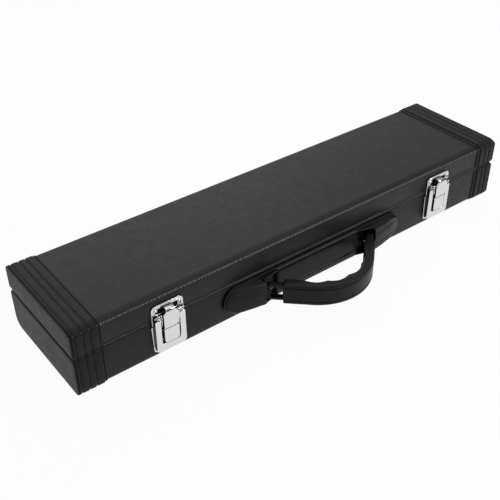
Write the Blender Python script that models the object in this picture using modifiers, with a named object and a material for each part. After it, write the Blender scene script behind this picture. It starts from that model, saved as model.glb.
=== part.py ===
"""Flute case with ribbed ends, two draw latches, two back hinges and a bail handle.

Metres, +Z up. The case stands on the bottoms of its ribs at z = 0. +X runs along its length and
-Y is its front, with the latches and the handle. The origin is the bottom centre of the whole
object's bounding box. Below, the case's frame means these axes with y = 0 at mid depth of the
case's body, and out means the distance in front of the body's front face, or behind its back.
"""

import bmesh
import bpy
from math import cos, pi, radians, sin, tan
from mathutils import Euler, Matrix, Vector

# Clearance between pieces that touch, the overrun of every cut, and limits for cleaning meshes
GAP = 0.0003
OVERRUN = 0.001
WELD = GAP / 30
FLAT_ANGLE = radians(0.5)
SHARP_ANGLE = radians(50)
SMOOTH_ANGLE = radians(35)
ROD_SIDES = 16
EYE_SIDES = 12
PIN_SIDES = 10

# Body of the case
CASE_LENGTH = 0.420
BODY_DEPTH = 0.0952
BASE_HEIGHT = 0.0329
LID_HEIGHT = 0.0204
WALL = 0.004
BASE_FRONT_ROUND = 0.0038
BASE_BACK_ROUND = 0.0075
LID_FRONT_ROUND = 0.0055
LID_BACK_ROUND = 0.0032
ROUND_STEPS = 4

# Ribbed bands round both ends; the widths of their ribs run from the case's end inwards
RIB_RISE = 0.0011
RIB_SINK = 0.0010
LEFT_RIB_WIDTHS = (0.0035, 0.0060, 0.0052, 0.0067)
RIGHT_RIB_WIDTHS = (0.0074, 0.0058, 0.0065, 0.0035)
RIB_GROOVE = 0.0008
RIB_EDGE = 0.0008

# Linings
VALANCE_THICKNESS = 0.0015
VALANCE_RISE = 0.0035
VALANCE_GRIP = 0.0040
VALANCE_ROOM = 0.0004
LINING_FLOOR = 0.0030
BODY_CHANNEL_LENGTH = 0.362
BODY_CHANNEL_RADIUS = 0.0165
HEAD_CHANNEL_LENGTH = 0.230
HEAD_CHANNEL_RADIUS = 0.0135
FOOT_CHANNEL_LENGTH = 0.140
FOOT_CHANNEL_RADIUS = 0.0155
CHANNEL_LAND = 0.0070
CHANNEL_ROUND_STEPS = 8
PAD_THICKNESS = 0.0110
PAD_ROUND = 0.0040

# Draw latches, each at a share of the way from the handle plate's end to the case's end
LATCH_SHARE = 0.38833
SHEET = 0.0010
KEEPER_WIDTH = 0.0260
KEEPER_TOP = 0.0472
LATCH_SPLIT = 0.0307
KEEPER_CORNER = 0.0035
KEEPER_WINDOW_WIDTH = 0.0156
KEEPER_WINDOW_BOTTOM = 0.0402
KEEPER_WINDOW_TOP = 0.0446
KEEPER_SCREW_SPREAD = 0.0099
KEEPER_SCREW_HEIGHT = 0.0427
STRIKE_WIDTH_TOP = 0.0278
STRIKE_WIDTH_BOTTOM = 0.0262
STRIKE_BOTTOM = 0.0066
STRIKE_CORNER = 0.0030
STRIKE_SCREW_SPREAD = 0.0065
STRIKE_SCREW_HEIGHT = 0.0180
EAR_WIDTH = 0.0007
EAR_ROOT = 0.0020
EAR_RADIUS = 0.0016
LEVER_WIDTH = 0.0246
LEVER_BOTTOM = 0.0079
LEVER_CORNER = 0.0030
LEVER_FACE_OUT = 0.0046
LEVER_RAIL = 0.0064
LEVER_WALL_IN = 0.0017
LEVER_WALL = 0.0008
LEVER_PIVOT_OUT = 0.0033
LEVER_PIVOT_HEIGHT = 0.0385
LEVER_ROLL_RADIUS = 0.0016
LATCH_PIN_RADIUS = 0.0006
TONGUE_WIDTH = 0.0120
TONGUE_FACE_OUT = 0.0054
TONGUE_STEP = 0.0003
TONGUE_STEP_HEIGHT = 0.0287
TONGUE_BOTTOM_ROOM = 0.0009
TONGUE_CORNER = 0.0020
TONGUE_TOP = 0.0446
TONGUE_TIP_WIDTH = 0.0070
TONGUE_TIP_ROOM = 0.0004
TONGUE_SHOULDER = 0.0400
TONGUE_PIVOT_OUT = 0.0032
TONGUE_PIVOT_HEIGHT = 0.0264
TONGUE_LOOP_RADIUS = 0.0014

# Small screws of the keepers, strikes and hinges
SCREW_RADIUS = 0.0007
SCREW_LENGTH = 0.0034
SCREW_HEAD_RADIUS = 0.0018
SCREW_HEAD_HEIGHT = 0.0007
SCREW_SIDES = 10

# Back hinges
HINGE_INSET = 0.0820
HINGE_LENGTH = 0.0300
HINGE_LEAF = 0.0125
KNUCKLE_RADIUS = 0.0020
HINGE_PIN_RADIUS = 0.0008
HINGE_SCREW_SPREAD = 0.0095
HINGE_SCREW_OFFSET = 0.0082
HINGE_CORNER = 0.0015

# Handle plate with a block between two recesses, side walls along them, and a boss at each end
HANDLE_HEIGHT = 0.0195
PLATE_LENGTH = 0.1800
PLATE_WIDTH = 0.0256
PLATE_THICKNESS = 0.0022
PLATE_END_STEPS = 8
RECESS_WIDTH = 0.0204
BLOCK_LENGTH = 0.0830
BLOCK_WIDTH = 0.0250
BLOCK_RISE = 0.0016
BLOCK_EDGE = 0.0006
PANEL_LENGTH = 0.0780
PANEL_WIDTH = 0.0146
PANEL_DEPTH = 0.0007
SIDE_WALL = 0.0014
SIDE_WALL_INSET = 0.0006
SIDE_WALL_OUT = 0.0072
BOSS_WIDTH = 0.0246
BOSS_RISE = 0.0070
BOSS_LENGTH = 0.0320
BOSS_BULGE_SHARE = 0.25
BOSS_TIP_RISE = 0.0006
BOSS_CROWN = 0.0005
BOSS_CHAMFER = 0.0006
BOSS_TURNS = (0, 20, 40, 60, 75, 86)
BOSS_SHOULDER = 0.0022
BOSS_SHOULDER_DROP = 0.0020
HANDLE_SCREW_SPREAD = 0.0700
HANDLE_SCREW_RADIUS = 0.0015
HANDLE_SCREW_REACH = 0.0050
HANDLE_SCREW_HEAD_RADIUS = 0.0032
HANDLE_SCREW_HEAD_HEIGHT = 0.0010
POCKET_WIDTH = 0.0090

# Bail: a bent strap on two eyes, and the grip round it
PIVOT_OUT = 0.0055
BAIL_ARC_RADIUS = 0.0401
BAIL_ARM_ANGLE = radians(43.5)
BAIL_REACH = 0.0355
STRAP_THICKNESS = 0.0055
STRAP_WIDTH = 0.0125
STRAP_START = 0.0015
EYE_RADIUS = 0.0036
EYE_LENGTH = 0.0084
BAIL_PIN_RADIUS = 0.0013
BAIL_PIN_DEPTH = 0.0075
BAIL_END_PLAY = 0.0004
ARM_WINDOW_LENGTH = 0.0085
ARM_WINDOW_WIDTH = 0.0062
GRIP_ARM = 0.0211
GRIP_WIDTH = 0.0155
GRIP_OUTER = 0.0045
GRIP_INNER = 0.0052
HOLLOW_DEPTH = 0.0012
HOLLOW_PITCH = 0.0180
HOLLOWS = 4
HOLLOW_STEPS = 5
GRIP_EDGE = 0.0009
BAIL_STEPS = 12

# Heights that follow from the body's sizes
BODY_BOTTOM = RIB_RISE
PARTING = BODY_BOTTOM + BASE_HEIGHT
BODY_TOP = PARTING + LID_HEIGHT
BASE_EDGE = BASE_HEIGHT - GAP / 2
LID_EDGE = LID_HEIGHT - GAP / 2
RIB_WIDTHS = {-1: LEFT_RIB_WIDTHS, 1: RIGHT_RIB_WIDTHS}
HALF_LENGTH = CASE_LENGTH / 2
LATCH_SPREAD = PLATE_LENGTH / 2 + LATCH_SHARE * (HALF_LENGTH - PLATE_LENGTH / 2)
HINGE_SPREAD = HALF_LENGTH - HINGE_INSET
HALF_DEPTH = BODY_DEPTH / 2
INNER_HALF_LENGTH = HALF_LENGTH - WALL
INNER_HALF_DEPTH = HALF_DEPTH - WALL
HINGE_OUT = GAP + KNUCKLE_RADIUS
BAIL_OUTER_REACH = PIVOT_OUT + BAIL_REACH + GRIP_OUTER
CASE_Y = (HALF_DEPTH + BAIL_OUTER_REACH - (HALF_DEPTH + HINGE_OUT + KNUCKLE_RADIUS)) / 2

# Turns that stand an outline up: its own z, along which it is extruded, becomes the named axis
ALONG_X = Euler((pi / 2, 0, pi / 2)).to_matrix().to_4x4()
ALONG_FRONT = Euler((pi / 2, 0, 0)).to_matrix().to_4x4()
ALONG_Z = Matrix.Identity(4)
ALONG_BACK = Euler((-pi / 2, 0, 0)).to_matrix().to_4x4()
ROD_ALONG_X = Euler((0, pi / 2, 0)).to_matrix().to_4x4()


# Scene, collections and materials
def clear_scene():
    for old in list(bpy.data.objects):
        bpy.data.objects.remove(old, do_unlink=True)


def new_collection(name):
    collection = bpy.data.collections.new(name)
    bpy.context.scene.collection.children.link(collection)
    return collection


def new_material(name, colour, roughness, metallic):
    material = bpy.data.materials.new(name)
    material.use_nodes = True
    shader = material.node_tree.nodes["Principled BSDF"]
    shader.inputs["Base Color"].default_value = (*colour, 1)
    shader.inputs["Roughness"].default_value = roughness
    shader.inputs["Metallic"].default_value = metallic
    material.diffuse_color = (*colour, 1)
    return material


# Outlines and meshes
def arc(centre, radius, start, end, steps):
    """Points on an arc, ends included; angles in degrees."""
    angles = [radians(start + (end - start) * i / steps) for i in range(steps + 1)]
    return [(centre[0] + radius * cos(a), centre[1] + radius * sin(a)) for a in angles]


def rectangle(x0, y0, x1, y1):
    return [(x0, y0), (x1, y0), (x1, y1), (x0, y1)]


def rounded_rectangle(x0, y0, x1, y1, radius, steps=ROUND_STEPS):
    points = arc((x0 + radius, y0 + radius), radius, 180, 270, steps)
    points += arc((x1 - radius, y0 + radius), radius, 270, 360, steps)
    points += arc((x1 - radius, y1 - radius), radius, 0, 90, steps)
    points += arc((x0 + radius, y1 - radius), radius, 90, 180, steps)
    return points


def prism_mesh(loops, length, turn):
    """Extrude an outline, with any holes as further loops, evenly about its own plane."""
    curve = bpy.data.curves.new("outline", "CURVE")
    curve.dimensions = "2D"
    curve.fill_mode = "BOTH"
    curve.extrude = length / 2
    for loop in loops:
        spline = curve.splines.new("POLY")
        spline.points.add(len(loop) - 1)
        spline.use_cyclic_u = True
        for point, (x, y) in zip(spline.points, loop):
            point.co = (x, y, 0, 1)
    mesh = mesh_from_curve(curve)
    mesh.transform(turn)
    return mesh


def swept_mesh(path, profile, turn):
    """Sweep a closed profile along an open flat path, with the ends filled."""
    section = bpy.data.curves.new("section", "CURVE")
    section.dimensions = "2D"
    spline = section.splines.new("POLY")
    spline.points.add(len(profile) - 1)
    spline.use_cyclic_u = True
    for point, (x, y) in zip(spline.points, profile):
        point.co = (x, y, 0, 1)
    section_object = bpy.data.objects.new("section", section)
    bpy.context.scene.collection.objects.link(section_object)
    curve = bpy.data.curves.new("path", "CURVE")
    curve.dimensions = "2D"
    curve.bevel_mode = "OBJECT"
    curve.bevel_object = section_object
    curve.use_fill_caps = True
    line = curve.splines.new("POLY")
    line.points.add(len(path) - 1)
    for point, (x, y) in zip(line.points, path):
        point.co = (x, y, 0, 1)
    mesh = mesh_from_curve(curve)
    bpy.data.objects.remove(section_object)
    mesh.transform(turn)
    return mesh


def mesh_from_curve(curve):
    """The curve's closed mesh, caps welded and faces turned out; the curve is removed."""
    holder = bpy.data.objects.new("holder", curve)
    bpy.context.scene.collection.objects.link(holder)
    graph = bpy.context.evaluated_depsgraph_get()
    graph.update()
    mesh = bpy.data.meshes.new_from_object(holder.evaluated_get(graph))
    bpy.data.objects.remove(holder)
    return weld(mesh)


def weld(mesh):
    """Close the mesh, merge the triangles of its flat ends and turn its faces out."""
    work = bmesh.new()
    work.from_mesh(mesh)
    bmesh.ops.remove_doubles(work, verts=work.verts, dist=WELD)
    bmesh.ops.dissolve_degenerate(work, edges=work.edges, dist=WELD)
    bmesh.ops.dissolve_limit(work, angle_limit=FLAT_ANGLE, verts=work.verts, edges=work.edges)
    bmesh.ops.recalc_face_normals(work, faces=work.faces)
    work.to_mesh(mesh)
    work.free()
    mesh.materials.clear()
    return mesh


def box_mesh(size):
    work = bmesh.new()
    bmesh.ops.create_cube(work, size=1, matrix=Matrix.Diagonal((*size, 1)))
    mesh = bpy.data.meshes.new("box")
    work.to_mesh(mesh)
    work.free()
    return mesh


def rod_mesh(radius, length, turn=ROD_ALONG_X, sides=ROD_SIDES):
    """A rod about its own middle, turned half a side so that flats and not edges face the axes."""
    work = bmesh.new()
    matrix = turn @ Matrix.Rotation(pi / sides, 4, "Z")
    bmesh.ops.create_cone(
        work, cap_ends=True, segments=sides, radius1=radius, radius2=radius, depth=length, matrix=matrix
    )
    mesh = bpy.data.meshes.new("rod")
    work.to_mesh(mesh)
    work.free()
    return mesh


def turned_mesh(profile, sides):
    """Turn a profile, listed from the top to the bottom of its outer side, about z."""
    mesh = bpy.data.meshes.new("profile")
    edges = [(i, i + 1) for i in range(len(profile) - 1)]
    mesh.from_pydata([(r, 0, z) for r, z in profile], edges, [])
    holder = bpy.data.objects.new("holder", mesh)
    bpy.context.scene.collection.objects.link(holder)
    screw = holder.modifiers.new("Screw", "SCREW")
    screw.steps = sides
    screw.render_steps = sides
    screw.use_merge_vertices = True
    screw.merge_threshold = WELD
    graph = bpy.context.evaluated_depsgraph_get()
    graph.update()
    turned = bpy.data.meshes.new_from_object(holder.evaluated_get(graph))
    bpy.data.objects.remove(holder)
    return weld(turned)


def loft_mesh(sections):
    """Join sections of equally many points into one closed solid."""
    work = bmesh.new()
    rings = [[work.verts.new(point) for point in section] for section in sections]
    for ring, following in zip(rings, rings[1:]):
        for i in range(len(ring)):
            j = (i + 1) % len(ring)
            work.faces.new((ring[i], ring[j], following[j], following[i]))
    work.faces.new(rings[0])
    work.faces.new(rings[-1])
    bmesh.ops.recalc_face_normals(work, faces=work.faces)
    mesh = bpy.data.meshes.new("loft")
    work.to_mesh(mesh)
    work.free()
    return mesh


def group_mesh(mesh, places, turn):
    """Copies of one small mesh as separate solids of one mesh."""
    work = bmesh.new()
    for place in places:
        copy = mesh.copy()
        copy.transform(Matrix.Translation(place) @ turn)
        work.from_mesh(copy)
        bpy.data.meshes.remove(copy)
    group = bpy.data.meshes.new("group")
    work.to_mesh(group)
    work.free()
    return group


def screw_mesh(radius, length, head_radius, head_height):
    """A dome-headed screw along z, its head above z = 0 and its shank below."""
    profile = [(0, head_height)]
    profile += [(head_radius * sin(a), head_height * cos(a)) for a in (pi / 6, pi / 3, pi / 2)]
    profile += [(radius, 0), (radius, -length + radius), (0, -length)]
    return turned_mesh(profile, SCREW_SIDES)


# Objects
def make(name, mesh, centre, origin, parent, material):
    """Place a mesh, built about centre, as a named part with its origin at origin."""
    shift = Vector(centre) - Vector(origin)
    mesh.transform(Matrix.Translation(shift))
    mesh.name = name
    mesh.materials.append(material)
    part = bpy.data.objects.new(name, mesh)
    PARTS.objects.link(part)
    part.parent = parent
    part.location = Vector(origin) - Vector(AXES[parent.name])
    mesh.shade_smooth()
    mesh.set_sharp_from_angle(angle=SMOOTH_ANGLE)
    return part


def tool(mesh, centre, parent):
    """A hidden helper solid for a Boolean, in the case's frame."""
    mesh.transform(Matrix.Translation(centre))
    helper = bpy.data.objects.new("tool", mesh)
    CUTTERS.objects.link(helper)
    helper.parent = parent
    helper.location = -Vector(AXES[parent.name])
    helper.hide_render = True
    helper.display_type = "WIRE"
    return helper


def boolean(part, helper, operation):
    modifier = part.modifiers.new(operation.title(), "BOOLEAN")
    modifier.operation = operation
    modifier.object = helper
    return part


def cut(part, mesh, centre=(0, 0, 0)):
    return boolean(part, tool(mesh, centre, part.parent), "DIFFERENCE")


def join(part, mesh, centre=(0, 0, 0)):
    return boolean(part, tool(mesh, centre, part.parent), "UNION")


def bevel(part, width, segments):
    modifier = part.modifiers.new("Bevel", "BEVEL")
    modifier.width = width
    modifier.segments = segments
    modifier.limit_method = "ANGLE"
    modifier.angle_limit = SHARP_ANGLE
    return modifier


def bevelled_mesh(mesh, width, segments):
    """The mesh with its sharp edges rounded."""
    work = bmesh.new()
    work.from_mesh(mesh)
    sharp = [edge for edge in work.edges if edge.calc_face_angle(0) > SHARP_ANGLE]
    bmesh.ops.bevel(
        work, geom=sharp, offset=width, segments=segments, profile=0.5, affect="EDGES", clamp_overlap=True
    )
    work.to_mesh(mesh)
    work.free()
    return mesh


def new_axis(name, place, parent=None):
    """An empty on a joint's axis, or at the case's frame."""
    empty = bpy.data.objects.new(name, None)
    PARTS.objects.link(empty)
    AXES[name] = tuple(place)
    if parent is None:
        empty.location = (0, CASE_Y, 0)
    else:
        empty.parent = parent
        empty.location = Vector(place) - Vector(AXES[parent.name])
    return empty


# Case body
def tray_outline(grow, front_round, back_round, edge):
    """Section of a tray from its front edge round the closed side to its back edge."""
    points = [(-HALF_DEPTH - grow, edge)]
    centre = (-HALF_DEPTH + front_round, front_round)
    points += arc(centre, front_round + grow, 180, 270, ROUND_STEPS)
    centre = (HALF_DEPTH - back_round, back_round)
    points += arc(centre, back_round + grow, 270, 360, ROUND_STEPS)
    points.append((HALF_DEPTH + grow, edge))
    return points


def base_section(grow, over=0):
    outline = tray_outline(grow, BASE_FRONT_ROUND, BASE_BACK_ROUND, BASE_EDGE + over)
    return [(y, BODY_BOTTOM + h) for y, h in outline]


def lid_section(grow, over=0):
    outline = tray_outline(grow, LID_FRONT_ROUND, LID_BACK_ROUND, LID_EDGE + over)
    return [(y, BODY_TOP - h) for y, h in reversed(outline)]


def shell(name, section, cavity_low, cavity_high, parent, origin):
    """A tray with one cavity, stepped down at both ends to seat the ribbed bands."""
    mesh = prism_mesh([section(0)], CASE_LENGTH, ALONG_X)
    part = make(name, mesh, (0, 0, 0), origin, parent, LEATHERETTE)
    seat = section(OVERRUN, OVERRUN) + section(-RIB_SINK, OVERRUN)[::-1]
    for side in (-1, 1):
        band = sum(RIB_WIDTHS[side])
        cutter = prism_mesh([seat], band + OVERRUN, ALONG_X)
        cut(part, cutter, (side * (HALF_LENGTH + (OVERRUN - band) / 2), 0, 0))
    size = (2 * INNER_HALF_LENGTH, 2 * INNER_HALF_DEPTH, cavity_high - cavity_low)
    cut(part, box_mesh(size), (0, 0, (cavity_low + cavity_high) / 2))
    return part


def band_profile(side):
    """Section of a ribbed band: out from the body, and along x from the case's end inwards."""
    inside = -RIB_SINK + GAP
    widths = RIB_WIDTHS[side]
    far = sum(widths) - GAP
    points = [(inside, 0), (0, 0)]
    start = 0
    for width in widths:
        low = start + RIB_GROOVE / 2
        high = min(start + width - RIB_GROOVE / 2, far)
        slope = [(RIB_RISE * sin(a), RIB_EDGE * (1 - cos(a))) for a in (0, pi / 4, pi / 2)]
        points += [(rise, low + run) for rise, run in slope]
        points += [(rise, high - run) for rise, run in reversed(slope)]
        start += width
    points += [(0, far), (inside, far)]
    return [(out, side * (HALF_LENGTH - along)) for out, along in points]


def ribs(name, section, side, parent, origin):
    mesh = swept_mesh(section(0), band_profile(side), ALONG_X)
    return make(name, mesh, (0, 0, 0), origin, parent, LEATHERETTE)


def screw_places(xs, out, height, back=False):
    y = HALF_DEPTH + out if back else -HALF_DEPTH - out
    return [(x, y, height) for x in xs]


def pairs(spread, offset):
    """x places of two screws about each of two mirrored fittings."""
    return [side * spread + hand * offset for side in (-1, 1) for hand in (-1, 1)]


def drill(part, xs, height, back=False):
    """Blind holes for the small screws in a wall."""
    depth = SCREW_LENGTH
    turn = ALONG_BACK if back else ALONG_FRONT
    rod = rod_mesh(SCREW_RADIUS + GAP, 2 * depth, sides=SCREW_SIDES, turn=ALONG_Z)
    return cut(part, group_mesh(rod, screw_places(xs, 0, height, back), turn))


def base_shell():
    part = shell("base_shell", base_section, BODY_BOTTOM + WALL, PARTING + OVERRUN, FRAME, (0, 0, 0))
    drill(part, pairs(LATCH_SPREAD, STRIKE_SCREW_SPREAD), STRIKE_SCREW_HEIGHT)
    drill(part, pairs(HINGE_SPREAD, HINGE_SCREW_SPREAD), PARTING - HINGE_SCREW_OFFSET, True)
    rod = rod_mesh(HANDLE_SCREW_RADIUS + GAP, 4 * WALL, ALONG_Z, SCREW_SIDES)
    places = screw_places((-HANDLE_SCREW_SPREAD, HANDLE_SCREW_SPREAD), 0, HANDLE_HEIGHT)
    cut(part, group_mesh(rod, places, ALONG_FRONT))
    return part


def lid_shell():
    part = shell("lid_shell", lid_section, PARTING - OVERRUN, BODY_TOP - WALL, LID_AXIS, LID_PIVOT)
    drill(part, pairs(LATCH_SPREAD, KEEPER_SCREW_SPREAD), KEEPER_SCREW_HEIGHT)
    drill(part, pairs(HINGE_SPREAD, HINGE_SCREW_SPREAD), PARTING + HINGE_SCREW_OFFSET, True)
    return part


# Linings
def valance():
    """The rim inside the parting that guides the lid."""
    x = INNER_HALF_LENGTH - VALANCE_ROOM
    y = INNER_HALF_DEPTH - VALANCE_ROOM
    t = VALANCE_THICKNESS
    height = VALANCE_GRIP + VALANCE_RISE
    loops = [rectangle(-x, -y, x, y), rectangle(-x + t, -y + t, x - t, y - t)]
    mesh = prism_mesh(loops, height, ALONG_Z)
    centre = (0, 0, PARTING - VALANCE_GRIP + height / 2)
    return make("base_valance", mesh, centre, (0, 0, PARTING), FRAME, PLUSH)


def channel_mesh(radius, length, top):
    """A round-bottomed channel along x, its axis at z = 0 and open up to top."""
    outline = arc((0, 0), radius, 180, 360, CHANNEL_ROUND_STEPS)
    outline += [(radius, top), (-radius, top)]
    return prism_mesh([outline], length, ALONG_X)


def channel_places():
    """Centre and radius of each channel: body joint in front, head and foot joints behind it."""
    middle = BODY_CHANNEL_RADIUS - FOOT_CHANNEL_RADIUS
    body_y = middle - CHANNEL_LAND / 2 - BODY_CHANNEL_RADIUS
    rear_y = middle + CHANNEL_LAND / 2 + FOOT_CHANNEL_RADIUS
    rear_length = HEAD_CHANNEL_LENGTH + CHANNEL_LAND + FOOT_CHANNEL_LENGTH
    head_x = -rear_length / 2 + HEAD_CHANNEL_LENGTH / 2
    foot_x = rear_length / 2 - FOOT_CHANNEL_LENGTH / 2
    return [
        (0, body_y, BODY_CHANNEL_RADIUS, BODY_CHANNEL_LENGTH),
        (head_x, rear_y, HEAD_CHANNEL_RADIUS, HEAD_CHANNEL_LENGTH),
        (foot_x, rear_y, FOOT_CHANNEL_RADIUS, FOOT_CHANNEL_LENGTH),
    ]


def base_lining():
    """The insert that holds the flute's joints, with a pocket behind each handle screw."""
    low = BODY_BOTTOM + WALL + GAP
    high = PARTING - VALANCE_GRIP - GAP
    x = INNER_HALF_LENGTH - GAP
    y = INNER_HALF_DEPTH - GAP
    mesh = box_mesh((2 * x, 2 * y, high - low))
    part = make("base_lining", mesh, (0, 0, (low + high) / 2), (0, 0, low), FRAME, PLUSH)
    for centre_x, centre_y, radius, length in channel_places():
        axis = low + LINING_FLOOR + radius
        cut(part, channel_mesh(radius, length, high - axis + OVERRUN), (centre_x, centre_y, axis))
    depth = HANDLE_SCREW_HEAD_HEIGHT + 2 * GAP
    for side in (-1, 1):
        size = (POCKET_WIDTH, 2 * depth, POCKET_WIDTH)
        cut(part, box_mesh(size), (side * HANDLE_SCREW_SPREAD, -y, HANDLE_HEIGHT))
    return part


def lid_pad():
    high = BODY_TOP - WALL - GAP
    size = (2 * (INNER_HALF_LENGTH - GAP), 2 * (INNER_HALF_DEPTH - GAP), PAD_THICKNESS)
    centre = (0, 0, high - PAD_THICKNESS / 2)
    part = make("lid_pad", box_mesh(size), centre, LID_PIVOT, LID_AXIS, PLUSH)
    bevel(part, PAD_ROUND, 2)
    return part


# Latches
def front(out):
    """y of a point at a distance in front of the body's front face."""
    return -HALF_DEPTH - out


def side_name(name, side):
    return name + ("_left" if side < 0 else "_right")


def circle(centre, radius, steps):
    return arc(centre, radius, 0, 360 - 360 / steps, steps - 1)


def keeper(side):
    """The plate on the lid, with a window that the tongue's tip reaches towards."""
    half = KEEPER_WIDTH / 2
    corner = KEEPER_CORNER
    outline = arc((half - corner, KEEPER_TOP - corner), corner, 0, 90, ROUND_STEPS)
    outline += arc((corner - half, KEEPER_TOP - corner), corner, 90, 180, ROUND_STEPS)
    outline += [(-half, LATCH_SPLIT + GAP), (half, LATCH_SPLIT + GAP)]
    inner = KEEPER_WINDOW_WIDTH / 2
    loops = [outline, rectangle(-inner, KEEPER_WINDOW_BOTTOM, inner, KEEPER_WINDOW_TOP)]
    for hand in (-1, 1):
        place = (hand * KEEPER_SCREW_SPREAD, KEEPER_SCREW_HEIGHT)
        loops.append(circle(place, SCREW_RADIUS + GAP, SCREW_SIDES))
    mesh = prism_mesh(loops, SHEET, ALONG_FRONT)
    centre = (side * LATCH_SPREAD, front(GAP + SHEET / 2), 0)
    return make(side_name("keeper_plate", side), mesh, centre, LID_PIVOT, LID_AXIS, CHROME)


def screws(name, mesh, places, turn, parent):
    """Copies of one screw, each a part of its own with its origin under its head."""
    for number, place in enumerate(places, 1):
        copy = mesh.copy()
        copy.transform(turn)
        make(name + "_" + str(number), copy, place, place, parent, CHROME)


def small_screws(name, xs, height, parent, back=False):
    """Screws through a sheet on the front or the back, their heads on the sheet's face."""
    mesh = screw_mesh(SCREW_RADIUS, SCREW_LENGTH, SCREW_HEAD_RADIUS, SCREW_HEAD_HEIGHT)
    turn = ALONG_BACK if back else ALONG_FRONT
    screws(name, mesh, screw_places(xs, SHEET + 2 * GAP, height, back), turn, parent)


def ear_outline():
    """Side view of one ear: its root in the strike, and a ring round the lever's pin."""
    inner = GAP + SHEET + GAP
    root = SHEET
    base = LATCH_SPLIT - GAP - EAR_ROOT
    points = [(root, base), (LEVER_PIVOT_OUT, base)]
    points.append((LEVER_PIVOT_OUT + EAR_RADIUS, LATCH_SPLIT + EAR_ROOT))
    points += arc((LEVER_PIVOT_OUT, LEVER_PIVOT_HEIGHT), EAR_RADIUS, 0, 180, ROUND_STEPS)
    points += [(inner, LATCH_SPLIT - GAP), (root, LATCH_SPLIT - GAP)]
    return points


def strike(side):
    """The plate on the base, with two ears that carry the lever's pin."""
    top = STRIKE_WIDTH_TOP / 2
    low = STRIKE_WIDTH_BOTTOM / 2
    corner = STRIKE_CORNER
    outline = arc((corner - low, STRIKE_BOTTOM + corner), corner, 180, 270, ROUND_STEPS)
    outline += arc((low - corner, STRIKE_BOTTOM + corner), corner, 270, 360, ROUND_STEPS)
    outline += [(top, LATCH_SPLIT - GAP), (-top, LATCH_SPLIT - GAP)]
    loops = [outline]
    for hand in (-1, 1):
        place = (hand * STRIKE_SCREW_SPREAD, STRIKE_SCREW_HEIGHT)
        loops.append(circle(place, SCREW_RADIUS + GAP, SCREW_SIDES))
    x = side * LATCH_SPREAD
    centre = (x, front(GAP + SHEET / 2), 0)
    mesh = prism_mesh(loops, SHEET, ALONG_FRONT)
    part = make(side_name("strike_plate", side), mesh, centre, centre, FRAME, CHROME)
    place = TONGUE_WIDTH / 2 + 2 * GAP + EAR_WIDTH / 2
    for hand in (-1, 1):
        hole = circle((LEVER_PIVOT_OUT, LEVER_PIVOT_HEIGHT), LATCH_PIN_RADIUS + GAP, PIN_SIDES)
        ear = prism_mesh([ear_outline(), hole], EAR_WIDTH, SIDEWAYS)
        join(part, ear, (x + hand * place, front(0), 0))
    return part


def lever(side):
    """The stamped lever: a frame round the tongue, side walls and two rolls on the pin."""
    x = side * LATCH_SPREAD
    half = LEVER_WIDTH / 2
    stile = TONGUE_WIDTH / 2 + 3 * GAP + EAR_WIDTH
    rail_top = LEVER_BOTTOM + LEVER_RAIL
    corner = LEVER_CORNER
    outline = arc((corner - half, LEVER_BOTTOM + corner), corner, 180, 270, ROUND_STEPS)
    outline += arc((half - corner, LEVER_BOTTOM + corner), corner, 270, 360, ROUND_STEPS)
    outline += [(half, LEVER_PIVOT_HEIGHT), (stile, LEVER_PIVOT_HEIGHT)]
    outline += arc((stile - TONGUE_CORNER, rail_top + TONGUE_CORNER), TONGUE_CORNER, 360, 270, ROUND_STEPS)
    outline += arc((TONGUE_CORNER - stile, rail_top + TONGUE_CORNER), TONGUE_CORNER, 270, 180, ROUND_STEPS)
    outline += [(-stile, LEVER_PIVOT_HEIGHT), (-half, LEVER_PIVOT_HEIGHT)]
    mesh = prism_mesh([outline], SHEET, ALONG_FRONT)
    pivot = (x, front(LEVER_PIVOT_OUT), LEVER_PIVOT_HEIGHT)
    centre = (x, front(LEVER_FACE_OUT - SHEET / 2), 0)
    part = make(side_name("latch_lever", side), mesh, centre, pivot, LEVER_AXES[side], CHROME)
    depth = LEVER_FACE_OUT - SHEET / 2 - LEVER_WALL_IN
    wall_low = LEVER_BOTTOM + corner
    wall_high = LEVER_PIVOT_HEIGHT - 2 * LEVER_ROLL_RADIUS
    wall_out = LEVER_WALL_IN + depth / 2
    roll_length = half - stile
    for hand in (-1, 1):
        place = (x + hand * (half - LEVER_WALL / 2), front(wall_out), (wall_low + wall_high) / 2)
        join(part, box_mesh((LEVER_WALL, depth, wall_high - wall_low)), place)
        place = (x + hand * (stile + roll_length / 2), front(LEVER_PIVOT_OUT), LEVER_PIVOT_HEIGHT)
        join(part, rod_mesh(LEVER_ROLL_RADIUS, roll_length), place)
    hole = LATCH_PIN_RADIUS + GAP
    cut(part, rod_mesh(hole, LEVER_WIDTH + OVERRUN, sides=PIN_SIDES), pivot)
    place = (x, front(TONGUE_PIVOT_OUT), TONGUE_PIVOT_HEIGHT)
    cut(part, rod_mesh(hole, LEVER_WIDTH + OVERRUN, sides=PIN_SIDES), place)
    return part


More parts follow.
